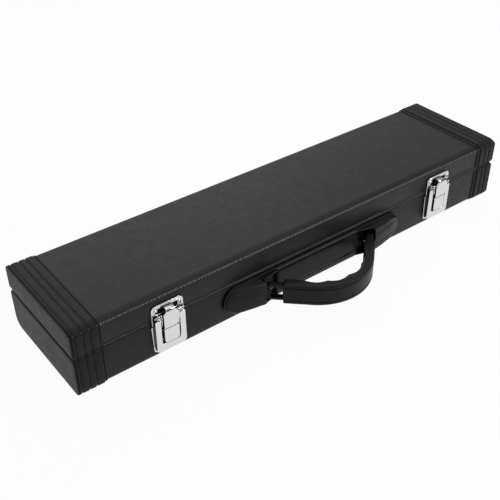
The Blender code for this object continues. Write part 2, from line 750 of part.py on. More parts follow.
def tongue_side():
    """Side view of the tongue, its foot left long: lower part, step, upper part, turned-in tip."""
    face = TONGUE_FACE_OUT
    back = face - SHEET
    low = LEVER_BOTTOM + LEVER_RAIL + TONGUE_BOTTOM_ROOM - OVERRUN
    tip = GAP + SHEET + TONGUE_TIP_ROOM
    return [
        (back - TONGUE_STEP, low),
        (face - TONGUE_STEP, low),
        (face - TONGUE_STEP, TONGUE_STEP_HEIGHT),
        (face, TONGUE_STEP_HEIGHT),
        (face, TONGUE_TOP - 3 * SHEET),
        (face - SHEET, TONGUE_TOP - SHEET / 2),
        (tip + SHEET, TONGUE_TOP),
        (tip, TONGUE_TOP),
        (tip, TONGUE_TOP - SHEET),
        (back - SHEET, TONGUE_TOP - 3 * SHEET / 2),
        (back, TONGUE_TOP - 3 * SHEET),
        (back, TONGUE_STEP_HEIGHT),
        (back - TONGUE_STEP, TONGUE_STEP_HEIGHT - TONGUE_STEP),
    ]


def tongue_front():
    """Front view of the tongue: rounded foot, parallel sides and a narrower tip."""
    half = TONGUE_WIDTH / 2
    tip = TONGUE_TIP_WIDTH / 2
    low = LEVER_BOTTOM + LEVER_RAIL + TONGUE_BOTTOM_ROOM
    corner = TONGUE_CORNER
    outline = arc((corner - half, low + corner), corner, 180, 270, ROUND_STEPS)
    outline += arc((half - corner, low + corner), corner, 270, 360, ROUND_STEPS)
    outline += [(half, TONGUE_SHOULDER), (tip, TONGUE_TOP - SHEET), (tip, TONGUE_TOP + OVERRUN)]
    outline += [(-tip, TONGUE_TOP + OVERRUN), (-tip, TONGUE_TOP - SHEET), (-half, TONGUE_SHOULDER)]
    return outline


def tongue(side):
    x = side * LATCH_SPREAD
    pivot = (x, front(TONGUE_PIVOT_OUT), TONGUE_PIVOT_HEIGHT)
    mesh = prism_mesh([tongue_side()], TONGUE_WIDTH + OVERRUN, SIDEWAYS)
    name = side_name("draw_tongue", side)
    part = make(name, mesh, (x, front(0), 0), pivot, TONGUE_AXES[side], CHROME)
    cutter = prism_mesh([tongue_front()], 2 * TONGUE_FACE_OUT + OVERRUN, ALONG_FRONT)
    boolean(part, tool(cutter, (x, front(TONGUE_FACE_OUT), 0), part.parent), "INTERSECT")
    join(part, rod_mesh(TONGUE_LOOP_RADIUS, TONGUE_WIDTH - 2 * GAP, sides=EYE_SIDES), pivot)
    cut(part, rod_mesh(LATCH_PIN_RADIUS + GAP, TONGUE_WIDTH + OVERRUN, sides=PIN_SIDES), pivot)
    return part


def latch_pins(side):
    x = side * LATCH_SPREAD
    length = LEVER_WIDTH - GAP
    pivot = (x, front(LEVER_PIVOT_OUT), LEVER_PIVOT_HEIGHT)
    mesh = rod_mesh(LATCH_PIN_RADIUS, length, sides=PIN_SIDES)
    make(side_name("lever_pin", side), mesh, pivot, pivot, FRAME, CHROME)
    pivot = (x, front(TONGUE_PIVOT_OUT), TONGUE_PIVOT_HEIGHT)
    mesh = rod_mesh(LATCH_PIN_RADIUS, length, sides=PIN_SIDES)
    make(side_name("tongue_pin", side), mesh, pivot, pivot, LEVER_AXES[side], CHROME)


# Hinges
def leaf_outline(knuckles, up):
    """Back view of a leaf; it reaches the pin only where its own knuckles are."""
    half = HINGE_LENGTH / 2
    third = HINGE_LENGTH / 6
    clear = KNUCKLE_RADIUS + GAP
    end = clear + GAP if knuckles == "middle" else 0
    edge = [(-half, end)]
    for x in (-third, third):
        inside = x < 0
        before, after = (clear, 0) if (knuckles == "middle") == inside else (0, clear)
        inset = GAP / 2 if (knuckles == "middle") == inside else -GAP / 2
        edge += [(x + inset, before), (x + inset, after)]
    edge.append((half, end))
    corner = HINGE_CORNER
    far = arc((half - corner, HINGE_LEAF - corner), corner, 0, 90, 2)
    far += arc((corner - half, HINGE_LEAF - corner), corner, 90, 180, 2)
    return [(x, up * h) for x, h in edge + far]


def hinge_leaf(name, side, knuckles, up, parent, origin):
    x = side * HINGE_SPREAD
    loops = [leaf_outline(knuckles, up)]
    for hand in (-1, 1):
        place = (hand * HINGE_SCREW_SPREAD, up * HINGE_SCREW_OFFSET)
        loops.append(circle(place, SCREW_RADIUS + GAP, SCREW_SIDES))
    mesh = prism_mesh(loops, SHEET, ALONG_FRONT)
    centre = (x, HALF_DEPTH + GAP + SHEET / 2, PARTING)
    part = make(side_name(name, side), mesh, centre, origin or centre, parent, CHROME)
    third = HINGE_LENGTH / 3
    for shift in ([0] if knuckles == "middle" else [-third, third]):
        place = (x + shift, HALF_DEPTH + HINGE_OUT, PARTING)
        join(part, rod_mesh(KNUCKLE_RADIUS, third - 2 * GAP), place)
    place = (x, HALF_DEPTH + HINGE_OUT, PARTING)
    cut(part, rod_mesh(HINGE_PIN_RADIUS + GAP, HINGE_LENGTH + OVERRUN, sides=PIN_SIDES), place)
    return part


def hinge_pin(side):
    place = (side * HINGE_SPREAD, HALF_DEPTH + HINGE_OUT, PARTING)
    mesh = rod_mesh(HINGE_PIN_RADIUS, HINGE_LENGTH, sides=PIN_SIDES)
    return make(side_name("hinge_pin", side), mesh, place, place, FRAME, CHROME)


# Handle
def bail_arm_start(offset, out):
    """x where the line at an offset from the strap's middle comes down to a distance out."""
    radius = BAIL_ARC_RADIUS + offset
    tangent_out = BAIL_REACH - BAIL_ARC_RADIUS + radius * cos(BAIL_ARM_ANGLE)
    return radius * sin(BAIL_ARM_ANGLE) + (tangent_out - out) / tan(BAIL_ARM_ANGLE)


def bail_point(offset, distance):
    """Point on an offset line, by its distance along it from the middle, as (x, out)."""
    radius = BAIL_ARC_RADIUS + offset
    turn = distance / radius
    side = 1 if turn >= 0 else -1
    bend = min(abs(turn), BAIL_ARM_ANGLE)
    rest = abs(distance) - bend * radius
    x = radius * sin(bend) + rest * cos(bend)
    out = BAIL_REACH - BAIL_ARC_RADIUS + radius * cos(bend) - rest * sin(bend)
    return (side * x, out)


def arc_stretch(offset):
    return (BAIL_ARC_RADIUS + offset) * BAIL_ARM_ANGLE


def strap_outline(grow):
    """Plan of the strap, from one eye round to the other, as (x, out)."""
    half = STRAP_THICKNESS / 2 + grow
    points = []
    for offset in (half, -half):
        stretch = arc_stretch(offset)
        line = [bail_point(offset, stretch * (2 * i / BAIL_STEPS - 1)) for i in range(BAIL_STEPS + 1)]
        foot = bail_arm_start(offset, STRAP_START - grow)
        line = [(-foot, STRAP_START - grow)] + line + [(foot, STRAP_START - grow)]
        points += line if offset > 0 else reversed(line)
    return points


def grip_outline():
    """Plan of the grip: a smooth outer side and finger hollows inside, as (x, out)."""
    end = arc_stretch(GRIP_OUTER) + GRIP_ARM
    stretch = arc_stretch(GRIP_OUTER)
    points = [bail_point(GRIP_OUTER, -end)]
    points += [bail_point(GRIP_OUTER, stretch * (2 * i / BAIL_STEPS - 1)) for i in range(BAIL_STEPS + 1)]
    points.append(bail_point(GRIP_OUTER, end))
    end = arc_stretch(-GRIP_INNER) + GRIP_ARM
    points.append(bail_point(-GRIP_INNER, end))
    half = HOLLOWS * HOLLOW_PITCH / 2
    count = HOLLOWS * HOLLOW_STEPS
    for i in range(count + 1):
        distance = half - 2 * half * i / count
        rise = HOLLOW_DEPTH * abs(sin(pi * (half - distance) / HOLLOW_PITCH))
        points.append(bail_point(-GRIP_INNER + rise, distance))
    points.append(bail_point(-GRIP_INNER, -end))
    return points


def flip(points):
    """Turn (x, out) into plan coordinates, where out runs along -y."""
    return [(x, -out) for x, out in points]


def eye_centre():
    return bail_arm_start(0, STRAP_START)


def boss_inner():
    return eye_centre() + EYE_LENGTH / 2 + BAIL_END_PLAY


def handle_core():
    """The strap, its two eyes and the window in each arm."""
    mesh = prism_mesh([flip(strap_outline(0))], STRAP_WIDTH, ALONG_Z)
    part = make("handle_core", mesh, BAIL_PIVOT, BAIL_PIVOT, BAIL_AXIS, HANDLE_BLACK)
    window = arc_stretch(0) + GRIP_ARM + ARM_WINDOW_LENGTH / 2 + 2 * GAP
    for side in (-1, 1):
        eye = Vector(BAIL_PIVOT) + Vector((side * eye_centre(), 0, 0))
        join(part, rod_mesh(EYE_RADIUS, EYE_LENGTH), eye)
        x, out = bail_point(0, side * window)
        turn = Matrix.Rotation(side * BAIL_ARM_ANGLE, 4, "Z")
        box = box_mesh((ARM_WINDOW_LENGTH, 3 * STRAP_THICKNESS, ARM_WINDOW_WIDTH))
        box.transform(turn)
        cut(part, box, Vector(BAIL_PIVOT) + Vector((x, -out, 0)))
        cut(part, rod_mesh(BAIL_PIN_RADIUS + GAP, 2 * EYE_LENGTH, sides=EYE_SIDES), eye)
    return part


def handle_grip():
    mesh = prism_mesh([flip(grip_outline())], GRIP_WIDTH, ALONG_Z)
    bevelled_mesh(mesh, GRIP_EDGE, 2)
    part = make("handle_grip", mesh, BAIL_PIVOT, BAIL_PIVOT, BAIL_AXIS, HANDLE_BLACK)
    tunnel = prism_mesh([flip(strap_outline(GAP))], STRAP_WIDTH + 2 * GAP, ALONG_Z)
    cut(part, tunnel, BAIL_PIVOT)
    return part


def boss_section(x, half):
    """Section of a boss across its length: upright sides, sloping shoulders and a crowned top."""
    plate_face = GAP + PLATE_THICKNESS
    share = (x - boss_inner()) / BOSS_LENGTH
    fall = (1 - share) * (1 + BOSS_BULGE_SHARE * share)
    top = plate_face + BOSS_TIP_RISE + (BOSS_RISE - BOSS_TIP_RISE) * fall
    narrowing = half / (BOSS_WIDTH / 2)
    shoulder = BOSS_SHOULDER * narrowing
    drop = min(BOSS_SHOULDER_DROP, (top - 2 * GAP) / 2)
    profile = [(half, 2 * GAP), (half, top - drop), (half - shoulder / 3, top - drop / 3)]
    profile += [(half - shoulder, top), (0, top + BOSS_CROWN * narrowing)]
    mirrored = [(-height, out) for height, out in reversed(profile[:-1])]
    return [(x, -out, height) for height, out in profile + mirrored]


def boss_mesh(side):
    """A boss that falls away towards the plate's round end, lofted along x."""
    half = BOSS_WIDTH / 2
    start = boss_inner()
    bend = start + BOSS_LENGTH - half
    stations = [(start, half - BOSS_CHAMFER), (start + BOSS_CHAMFER, half), ((start + bend) / 2, half)]
    stations += [(bend + half * sin(radians(a)), half * cos(radians(a))) for a in BOSS_TURNS]
    sections = [boss_section(x, reach) for x, reach in stations]
    return loft_mesh([[(side * x, y, z) for x, y, z in section] for section in sections])


def side_wall(side):
    """Plan of a wall that climbs from the block's face to the boss."""
    plate_face = GAP + PLATE_THICKNESS
    near = BLOCK_LENGTH / 2 - OVERRUN
    far = boss_inner() + OVERRUN
    points = [(near, 2 * GAP), (far, 2 * GAP), (far, SIDE_WALL_OUT), (near, plate_face + BLOCK_RISE / 2)]
    return flip([(side * x, out) for x, out in points])


def handle_plate():
    """The mounting plate with its block, two recesses for the arms, their walls and two bosses."""
    half = PLATE_LENGTH / 2
    width = PLATE_WIDTH / 2
    recess = RECESS_WIDTH / 2
    outline = rounded_rectangle(-half, -width, half, width, width - GAP, PLATE_END_STEPS)
    loops = [outline]
    for side in (-1, 1):
        inner, outer = side * BLOCK_LENGTH / 2, side * (boss_inner() - GAP)
        loops.append(rectangle(min(inner, outer), -recess, max(inner, outer), recess))
    mesh = prism_mesh(loops, PLATE_THICKNESS, ALONG_FRONT)
    centre = (0, front(GAP + PLATE_THICKNESS / 2), HANDLE_HEIGHT)
    part = make("handle_plate", mesh, centre, centre, FRAME, HANDLE_BLACK)
    face = GAP + PLATE_THICKNESS + BLOCK_RISE
    size = (BLOCK_LENGTH, PLATE_THICKNESS / 2 + BLOCK_RISE, BLOCK_WIDTH)
    block = bevelled_mesh(box_mesh(size), BLOCK_EDGE, 1)
    join(part, block, (0, front(face - size[1] / 2), HANDLE_HEIGHT))
    panel = box_mesh((PANEL_LENGTH, 2 * PANEL_DEPTH, PANEL_WIDTH))
    cut(part, panel, (0, front(face), HANDLE_HEIGHT))
    wall_height = (PLATE_WIDTH - SIDE_WALL) / 2 - SIDE_WALL_INSET
    for side in (-1, 1):
        join(part, boss_mesh(side), (0, front(0), HANDLE_HEIGHT))
        for hand in (-1, 1):
            wall = prism_mesh([side_wall(side)], SIDE_WALL, ALONG_Z)
            join(part, wall, (0, front(0), HANDLE_HEIGHT + hand * wall_height))
        place = (side * HANDLE_SCREW_SPREAD, front(0), HANDLE_HEIGHT)
        rod = rod_mesh(HANDLE_SCREW_RADIUS + GAP, 2 * (HANDLE_SCREW_REACH + GAP), ALONG_FRONT, SCREW_SIDES)
        cut(part, rod, place)
        place = (side * boss_inner(), front(PIVOT_OUT), HANDLE_HEIGHT)
        cut(part, rod_mesh(BAIL_PIN_RADIUS + GAP, 2 * (BAIL_PIN_DEPTH + GAP), sides=EYE_SIDES), place)
    return part


def handle_pin(side):
    """A pin from the eye into the boss."""
    start = eye_centre() - EYE_LENGTH / 2
    end = boss_inner() + BAIL_PIN_DEPTH
    place = (side * (start + end) / 2, front(PIVOT_OUT), HANDLE_HEIGHT)
    mesh = rod_mesh(BAIL_PIN_RADIUS, end - start, sides=EYE_SIDES)
    return make(side_name("handle_pin", side), mesh, place, place, FRAME, CHROME)


def handle_screws():
    """Two screws from inside the case, through the front wall into the bosses."""
    head = WALL + GAP
    length = head + HANDLE_SCREW_REACH
    mesh = screw_mesh(HANDLE_SCREW_RADIUS, length, HANDLE_SCREW_HEAD_RADIUS, HANDLE_SCREW_HEAD_HEIGHT)
    places = screw_places((-HANDLE_SCREW_SPREAD, HANDLE_SCREW_SPREAD), -head, HANDLE_HEIGHT)
    screws("handle_screw", mesh, places, ALONG_BACK, FRAME)


clear_scene()
PARTS = new_collection("flute_case")
CUTTERS = new_collection("cutters")
AXES = {}

LEATHERETTE = new_material("leatherette", (0.020, 0.020, 0.022), 0.45, 0)
PLUSH = new_material("plush", (0.030, 0.035, 0.110), 0.9, 0)
CHROME = new_material("chrome", (0.80, 0.80, 0.82), 0.08, 1)
HANDLE_BLACK = new_material("handle_plastic", (0.018, 0.018, 0.019), 0.35, 0)

# Out runs along -y and the extrusion along -x
SIDEWAYS = Euler((pi / 2, 0, -pi / 2)).to_matrix().to_4x4()

LID_PIVOT = (0, HALF_DEPTH + HINGE_OUT, PARTING)
BAIL_PIVOT = (0, front(PIVOT_OUT), HANDLE_HEIGHT)
FRAME = new_axis("case_frame", (0, 0, 0))
LID_AXIS = new_axis("lid_axis", LID_PIVOT, FRAME)
BAIL_AXIS = new_axis("bail_axis", BAIL_PIVOT, FRAME)
LEVER_AXES = {}
TONGUE_AXES = {}
for hand in (-1, 1):
    spot = (hand * LATCH_SPREAD, front(LEVER_PIVOT_OUT), LEVER_PIVOT_HEIGHT)
    LEVER_AXES[hand] = new_axis(side_name("lever_axis", hand), spot, FRAME)
    spot = (hand * LATCH_SPREAD, front(TONGUE_PIVOT_OUT), TONGUE_PIVOT_HEIGHT)
    TONGUE_AXES[hand] = new_axis(side_name("tongue_axis", hand), spot, LEVER_AXES[hand])

base_shell()
lid_shell()
for hand in (-1, 1):
    ribs(side_name("base_ribs", hand), base_section, hand, FRAME, (0, 0, 0))
    ribs(side_name("lid_ribs", hand), lid_section, hand, LID_AXIS, LID_PIVOT)
valance()
base_lining()
lid_pad()
for hand in (-1, 1):
    keeper(hand)
    strike(hand)
    lever(hand)
    tongue(hand)
    latch_pins(hand)
    hinge_leaf("base_hinge_leaf", hand, "outer", -1, FRAME, None)
    hinge_leaf("lid_hinge_leaf", hand, "middle", 1, LID_AXIS, LID_PIVOT)
    hinge_pin(hand)
    handle_pin(hand)
keeper_xs = pairs(LATCH_SPREAD, KEEPER_SCREW_SPREAD)
strike_xs = pairs(LATCH_SPREAD, STRIKE_SCREW_SPREAD)
hinge_xs = pairs(HINGE_SPREAD, HINGE_SCREW_SPREAD)
small_screws("keeper_screw", keeper_xs, KEEPER_SCREW_HEIGHT, LID_AXIS)
small_screws("strike_screw", strike_xs, STRIKE_SCREW_HEIGHT, FRAME)
small_screws("base_hinge_screw", hinge_xs, PARTING - HINGE_SCREW_OFFSET, FRAME, True)
small_screws("lid_hinge_screw", hinge_xs, PARTING + HINGE_SCREW_OFFSET, LID_AXIS, True)
handle_plate()
handle_core()
handle_grip()
handle_screws()
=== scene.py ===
# %% [markdown]
# # A flute case, dressed around its CAD frame
#
# The case is a long flat box in two halves, a deep base and a shallow lid, covered in black
# leatherette with pressed ribs round both ends. Two chromed draw latches and a plastic bail handle
# sit on the front, and two chromed hinges on the back. The CAD frame gives the places, and each
# visible piece is made again here with finer edges and a finish of its own.

from math import cos, hypot, pi, radians, sin, sqrt, tan

import bmesh
import bpy
from mathutils import Euler, Matrix, Vector


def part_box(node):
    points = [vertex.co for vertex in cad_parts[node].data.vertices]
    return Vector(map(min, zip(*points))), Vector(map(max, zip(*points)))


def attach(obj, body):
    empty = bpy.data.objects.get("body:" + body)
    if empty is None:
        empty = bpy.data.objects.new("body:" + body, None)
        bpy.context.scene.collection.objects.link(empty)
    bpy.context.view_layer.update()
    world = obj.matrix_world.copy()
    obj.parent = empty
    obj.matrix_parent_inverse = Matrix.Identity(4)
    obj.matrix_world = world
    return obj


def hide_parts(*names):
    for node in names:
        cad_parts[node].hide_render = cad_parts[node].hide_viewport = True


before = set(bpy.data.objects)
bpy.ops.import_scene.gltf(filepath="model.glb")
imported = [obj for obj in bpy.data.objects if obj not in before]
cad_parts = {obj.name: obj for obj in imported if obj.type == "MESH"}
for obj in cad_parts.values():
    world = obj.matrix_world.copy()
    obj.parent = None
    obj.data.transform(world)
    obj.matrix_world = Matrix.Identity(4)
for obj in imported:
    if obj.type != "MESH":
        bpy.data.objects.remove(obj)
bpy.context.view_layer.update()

# %% [markdown]
# ## Where the case stands
#
# The case could be drawn from numbers of its own. Its sizes are read from the CAD nodes instead, so
# that every piece follows a new frame. FRONT and BACK are the body's faces, the ribs stand RIB_RISE
# proud of them, and GAP is the room between neighbouring pieces.

# %% Read the sizes that the pieces share
MM = 0.001
GAP = 0.3 * MM
SIDES = (-1, 1)
HAND = {-1: "left", 1: "right"}
base_low, base_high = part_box("base_shell")
lid_low, lid_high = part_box("lid_shell")
HALF_LENGTH = base_high.x
FRONT = base_low.y
BACK = base_high.y
BOTTOM = base_low.z
BASE_RIM = base_high.z
LID_RIM = lid_low.z
PARTING = (BASE_RIM + LID_RIM) / 2
TOP = lid_high.z
RIB_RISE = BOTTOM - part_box("base_ribs_left")[0].z
MID_Y = (FRONT + BACK) / 2
size = [round(length / MM, 1) for length in (2 * HALF_LENGTH, BACK - FRONT, TOP)]
print("length, depth and height in mm:", size)

# %% [markdown]
# ## The camera
#
# The photograph looks down on the case from the front left. A Track To constraint could aim the
# camera, but it leaves no roll. Bearing, height and roll were fitted to the case's corners and turn
# into the camera's own axes, so the render lies over the photograph. The focal length is given in
# pixels of a 500 pixel wide picture.

# %% Place the camera
BEARING = radians(-37.388)
RISE = radians(35.986)
ROLL = radians(-0.395)
DISTANCE = 0.6542
FOCUS = Vector((-0.0336, MID_Y - 0.0079, 0.0213))
FOCAL_PIXELS = 823.5
PICTURE_PIXELS = 500

backwards = Vector((sin(BEARING) * cos(RISE), -cos(BEARING) * cos(RISE), sin(RISE)))
level = Vector((cos(BEARING), sin(BEARING), 0))
upright = backwards.cross(level)
right = level * cos(ROLL) + upright * sin(ROLL)
up = upright * cos(ROLL) - level * sin(ROLL)
camera = bpy.data.objects.new("camera", bpy.data.cameras.new("camera"))
bpy.context.scene.collection.objects.link(camera)
camera.matrix_world = Matrix((right, up, backwards)).transposed().to_4x4()
camera.location = FOCUS + backwards * DISTANCE
camera.data.sensor_width = 36
camera.data.lens = FOCAL_PIXELS / PICTURE_PIXELS * camera.data.sensor_width
camera.data.clip_start = 0.01
bpy.context.scene.camera = camera
print("camera at", [round(value, 3) for value in camera.location])

# %% [markdown]
# ## Floor, surround and lamps
#
# The case stands on white paper in a white room. A bright surround alone would turn black leatherette
# grey, so Light Path tells the rays apart: the camera, and a look through glass, meet pure white,
# while what falls on the case stays gentle. All node trees below are built with these helpers.


# %% Helpers for node trees
def feed(tree, socket, value):
    """Link the socket where the value is another node's socket, or else set it."""
    if isinstance(value, bpy.types.NodeSocket):
        tree.links.new(value, socket)
    else:
        socket.default_value = value


def fill(tree, node, **inputs):
    """Feed a node's sockets by name, with underscores for spaces."""
    for name, value in inputs.items():
        feed(tree, node.inputs[name.replace("_", " ")], value)
    return node


def fill_in_order(tree, node, *values):
    """Feed a node's first sockets and give back its first output."""
    for socket, value in zip(node.inputs, values):
        feed(tree, socket, value)
    return node.outputs[0]


def add_node(tree, kind, settings=None, **inputs):
    """A new node: settings are its own values, and inputs its sockets."""
    node = tree.nodes.new(kind)
    for name, value in (settings or {}).items():
        setattr(node, name, value)
    return fill(tree, node, **inputs)


def maths(tree, operation, *values, clamp=False):
    node = add_node(tree, "ShaderNodeMath", {"operation": operation, "use_clamp": clamp})
    return fill_in_order(tree, node, *values)


# %% Floor
FLOOR_HALF = 3
FLOOR_COLOUR = (0.90, 0.90, 0.90, 1)
FLOOR_WHITENESS = 0.95

floor_mesh = bpy.data.meshes.new("floor")
corners = [(x * FLOOR_HALF, y * FLOOR_HALF, 0) for x, y in ((-1, -1), (1, -1), (1, 1), (-1, 1))]
floor_mesh.from_pydata(corners, [], [(0, 1, 2, 3)])
floor = bpy.data.objects.new("floor", floor_mesh)
bpy.context.scene.collection.objects.link(floor)
floor_paint = bpy.data.materials.new("floor_paint")
floor_paint.use_nodes = True
tree = floor_paint.node_tree
tree.nodes.clear()
rays = add_node(tree, "ShaderNodeLightPath").outputs
seen = maths(tree, "ADD", rays["Is Camera Ray"], rays["Is Glossy Ray"])
seen = maths(tree, "ADD", seen, rays["Is Transmission Ray"], clamp=True)
share = maths(tree, "MULTIPLY", seen, FLOOR_WHITENESS)
paint = add_node(tree, "ShaderNodeBsdfDiffuse", Color=FLOOR_COLOUR).outputs[0]
glow = add_node(tree, "ShaderNodeEmission", Strength=1).outputs[0]
mixed = fill_in_order(tree, add_node(tree, "ShaderNodeMixShader"), share, paint, glow)
add_node(tree, "ShaderNodeOutputMaterial", Surface=mixed)
floor_mesh.materials.append(floor_paint)
print("floor", 2 * FLOOR_HALF, "m wide")

# %% [markdown]
# Chrome shows the room around it. The room that glossy rays meet is bright above and behind the
# case, and falls off towards the front and the right, so the latches get their dark bands and the
# front stays deep black, as in the photograph.

# %% Surround
SURROUND_LIGHT = 0.35
ROOM_LEVEL = 0.52
ROOM_SLOPES = {"Y": 0.74, "Z": 0.50, "X": -0.55}
ROOM_DARKEST = 0.12

world = bpy.data.worlds.new("surround")
bpy.context.scene.world = world
world.use_nodes = True
tree = world.node_tree
around = add_node(tree, "ShaderNodeTexCoord").outputs["Generated"]
direction = add_node(tree, "ShaderNodeSeparateXYZ", Vector=around).outputs
room = ROOM_LEVEL
for axis, slope in ROOM_SLOPES.items():
    room = maths(tree, "ADD", maths(tree, "MULTIPLY", direction[axis], slope), room)
room = maths(tree, "MINIMUM", maths(tree, "MAXIMUM", room, ROOM_DARKEST), 1.0)
rays = add_node(tree, "ShaderNodeLightPath").outputs
clear = maths(tree, "ADD", rays["Is Camera Ray"], rays["Is Transmission Ray"], clamp=True)
white = maths(tree, "MULTIPLY", clear, 1 - SURROUND_LIGHT)
gloss = maths(tree, "MULTIPLY", rays["Is Glossy Ray"], maths(tree, "SUBTRACT", room, SURROUND_LIGHT))
strength = maths(tree, "ADD", maths(tree, "ADD", white, gloss), SURROUND_LIGHT)
fill(tree, tree.nodes["Background"], Strength=strength, Color=(1, 1, 1, 1))
bpy.context.scene.view_settings.view_transform = "Standard"
print("surround made")

# %% [markdown]
# Area lamps stand in for soft boxes. The back lamp gives the lid its sheen, weaker ones from the left
# and above lift the end and the top, and the front lamp stands where the small slanted edges round
# the handle mirror it into the camera.


# %% Lamps
def add_lamp(name, place, size, power):
    """A rectangular lamp that looks at the middle of the case."""
    lamp = bpy.data.lights.new(name, "AREA")
    lamp.shape = "RECTANGLE"
    lamp.size, lamp.size_y = size
    lamp.energy = power
    holder = bpy.data.objects.new(name, lamp)
    bpy.context.scene.collection.objects.link(holder)
    holder.location = place
    holder.rotation_euler = (-Vector(place)).to_track_quat("-Z", "Y").to_euler()


add_lamp("back_lamp", (0.30, 1.0, 0.9), (1.2, 0.7), 2.6)
add_lamp("left_lamp", (-1.1, 0.2, 0.5), (0.7, 0.7), 0.8)
add_lamp("top_lamp", (0, 0.1, 1.4), (1.0, 1.0), 1)
add_lamp("front_lamp", (0.85, -1.02, 1.12), (0.5, 0.5), 14)
print(len(bpy.data.lights), "lamps made")

# %% [markdown]
# ## Finishes
#
# A photograph of leather could be wrapped round the case, but a pattern built from nodes needs no
# unwrapping and stays sharp from near by. All patterns read Object coordinates, so they stay on a
# piece when it turns. Their scales count repeats in a metre.


# %% Helpers for finishes
def new_finish(name):
    """A material, its tree, its shader and the coordinates of the piece that wears it."""
    material = bpy.data.materials.new(name)
    material.use_nodes = True
    tree = material.node_tree
    points = add_node(tree, "ShaderNodeTexCoord").outputs["Object"]
    return material, tree, tree.nodes["Principled BSDF"], points


def shade(level, blue):
    """A grey that leans a little to blue."""
    return (level, level, blue, 1)


def noise(tree, points, scale, detail):
    return add_node(tree, "ShaderNodeTexNoise", Vector=points, Scale=scale, Detail=detail).outputs["Fac"]


def cells(tree, points, scale, feature="F1"):
    """How far each point lies from the middle of its Voronoi cell."""
    node = add_node(tree, "ShaderNodeTexVoronoi", {"feature": feature}, Vector=points, Scale=scale)
    return node.outputs["Distance"]


def spread(tree, value, low, high, start=0.3, end=0.7):
    """Map the part of a pattern from start to end onto a range of roughness or mix."""
    ends = {"From_Min": start, "From_Max": end, "To_Min": low, "To_Max": high}
    return add_node(tree, "ShaderNodeMapRange", Value=value, **ends).outputs[0]


def mix_colours(tree, share, first, second):
    """Blend two colours, each given as numbers or as a socket."""
    node = add_node(tree, "ShaderNodeMix", {"data_type": "RGBA"}, Factor=share, A=first, B=second)
    return node.outputs["Result"]


def bumps(tree, *layers):
    """Stack layers of (height, strength, distance in metres) and give back the bent normal."""
    bent = {}
    for height, strength, distance in layers:
        bump = add_node(tree, "ShaderNodeBump", Height=height, Strength=strength, Distance=distance, **bent)
        bent = {"Normal": bump.outputs[0]}
    return bent["Normal"]


# %% [markdown]
# ### Leatherette
#
# A vinyl skin is pressed with a pebble grain over a smooth backing. Voronoi cells of about a
# millimetre, bent by noise, give the pebbles, a finer noise the pores, and a slow one the unevenness
# of a hand-wrapped skin. The pebbles along the lid's front crease are painted pale, a painted
# highlight where the grain catches the lamp. The edge could be found with the Pointiness value, but
# that depends on the mesh, so the painted highlight is drawn as a row of dots along a line.

# %% The painted highlight on the crease
CREASE_LINE = (FRONT + 0.5 * MM, TOP - 1.9 * MM)
CREASE_REACH = 1.0 * MM
CREASE_DOTS = 720.0
# The pale colour of the painted highlight along the lid's front crease
CREASE_HIGHLIGHT = shade(0.13, 0.133)


def crease_highlight_dots(tree, points):
    """Where the painted highlight goes: 1 on the pebbles along the crease, and 0 beside it."""
    place = add_node(tree, "ShaderNodeSeparateXYZ", Vector=points).outputs
    squares = []
    for axis, centre in zip("YZ", CREASE_LINE):
        away = maths(tree, "SUBTRACT", place[axis], centre)
        squares.append(maths(tree, "MULTIPLY", away, away))
    distance = maths(tree, "SQRT", maths(tree, "ADD", *squares))
    near = spread(tree, distance, 1, 0, 0.25 * CREASE_REACH, CREASE_REACH)
    row = {"voronoi_dimensions": "1D"}
    dots = add_node(tree, "ShaderNodeTexVoronoi", row, W=place["X"], Scale=CREASE_DOTS, Randomness=0.7)
    return maths(tree, "MULTIPLY", near, spread(tree, dots.outputs["Distance"], 1, 0, 0.10, 0.40))


# %% Leatherette
def leatherette(name, dark, light, grain, gloss, rough):
    """grain is the height of the pebbles, and gloss the shine of the vinyl."""
    material, tree, shader, points = new_finish(name)
    wander = add_node(tree, "ShaderNodeTexNoise", Vector=points, Scale=420.0, Detail=2.0).outputs["Color"]
    bend = add_node(tree, "ShaderNodeVectorMath", {"operation": "SCALE"}, Vector=wander, Scale=0.0007)
    bent = fill_in_order(tree, add_node(tree, "ShaderNodeVectorMath"), points, bend.outputs[0])
    pebbles = cells(tree, bent, 950.0, "SMOOTH_F1")
    pores = noise(tree, points, 2600.0, 3.0)
    slow = noise(tree, points, 38.0, 3.0)
    mottle = noise(tree, points, 160.0, 4.0)
    skin = mix_colours(tree, spread(tree, mottle, 0, 1), dark, light)
    # The pebbles along the crease take the pale colour of a painted highlight
    fill(
        tree, shader, Base_Color=mix_colours(tree, crease_highlight_dots(tree, points), skin, CREASE_HIGHLIGHT),
        Roughness=spread(tree, mottle, rough - 0.05, rough + 0.05), Specular_IOR_Level=gloss,
        Normal=bumps(tree, (slow, 0.25, 0.0012), (pebbles, grain, 0.00022), (pores, grain / 3, 0.00006)),
    )
    return material


SKIN = leatherette("leatherette", shade(0.0060, 0.0064), shade(0.0095, 0.0100), 0.9, 0.26, 0.48)
RIB_SKIN = leatherette("rib_leatherette", shade(0.0050, 0.0054), shade(0.0080, 0.0084), 0.8, 0.19, 0.52)
# The welt's paler leatherette is a painted highlight along the parting
HEM_HIGHLIGHT_SKIN = leatherette("hem_leatherette_painted_highlight", shade(0.030, 0.031), shade(0.050, 0.052), 0.6, 0.40, 0.40)
print("leatherettes made")
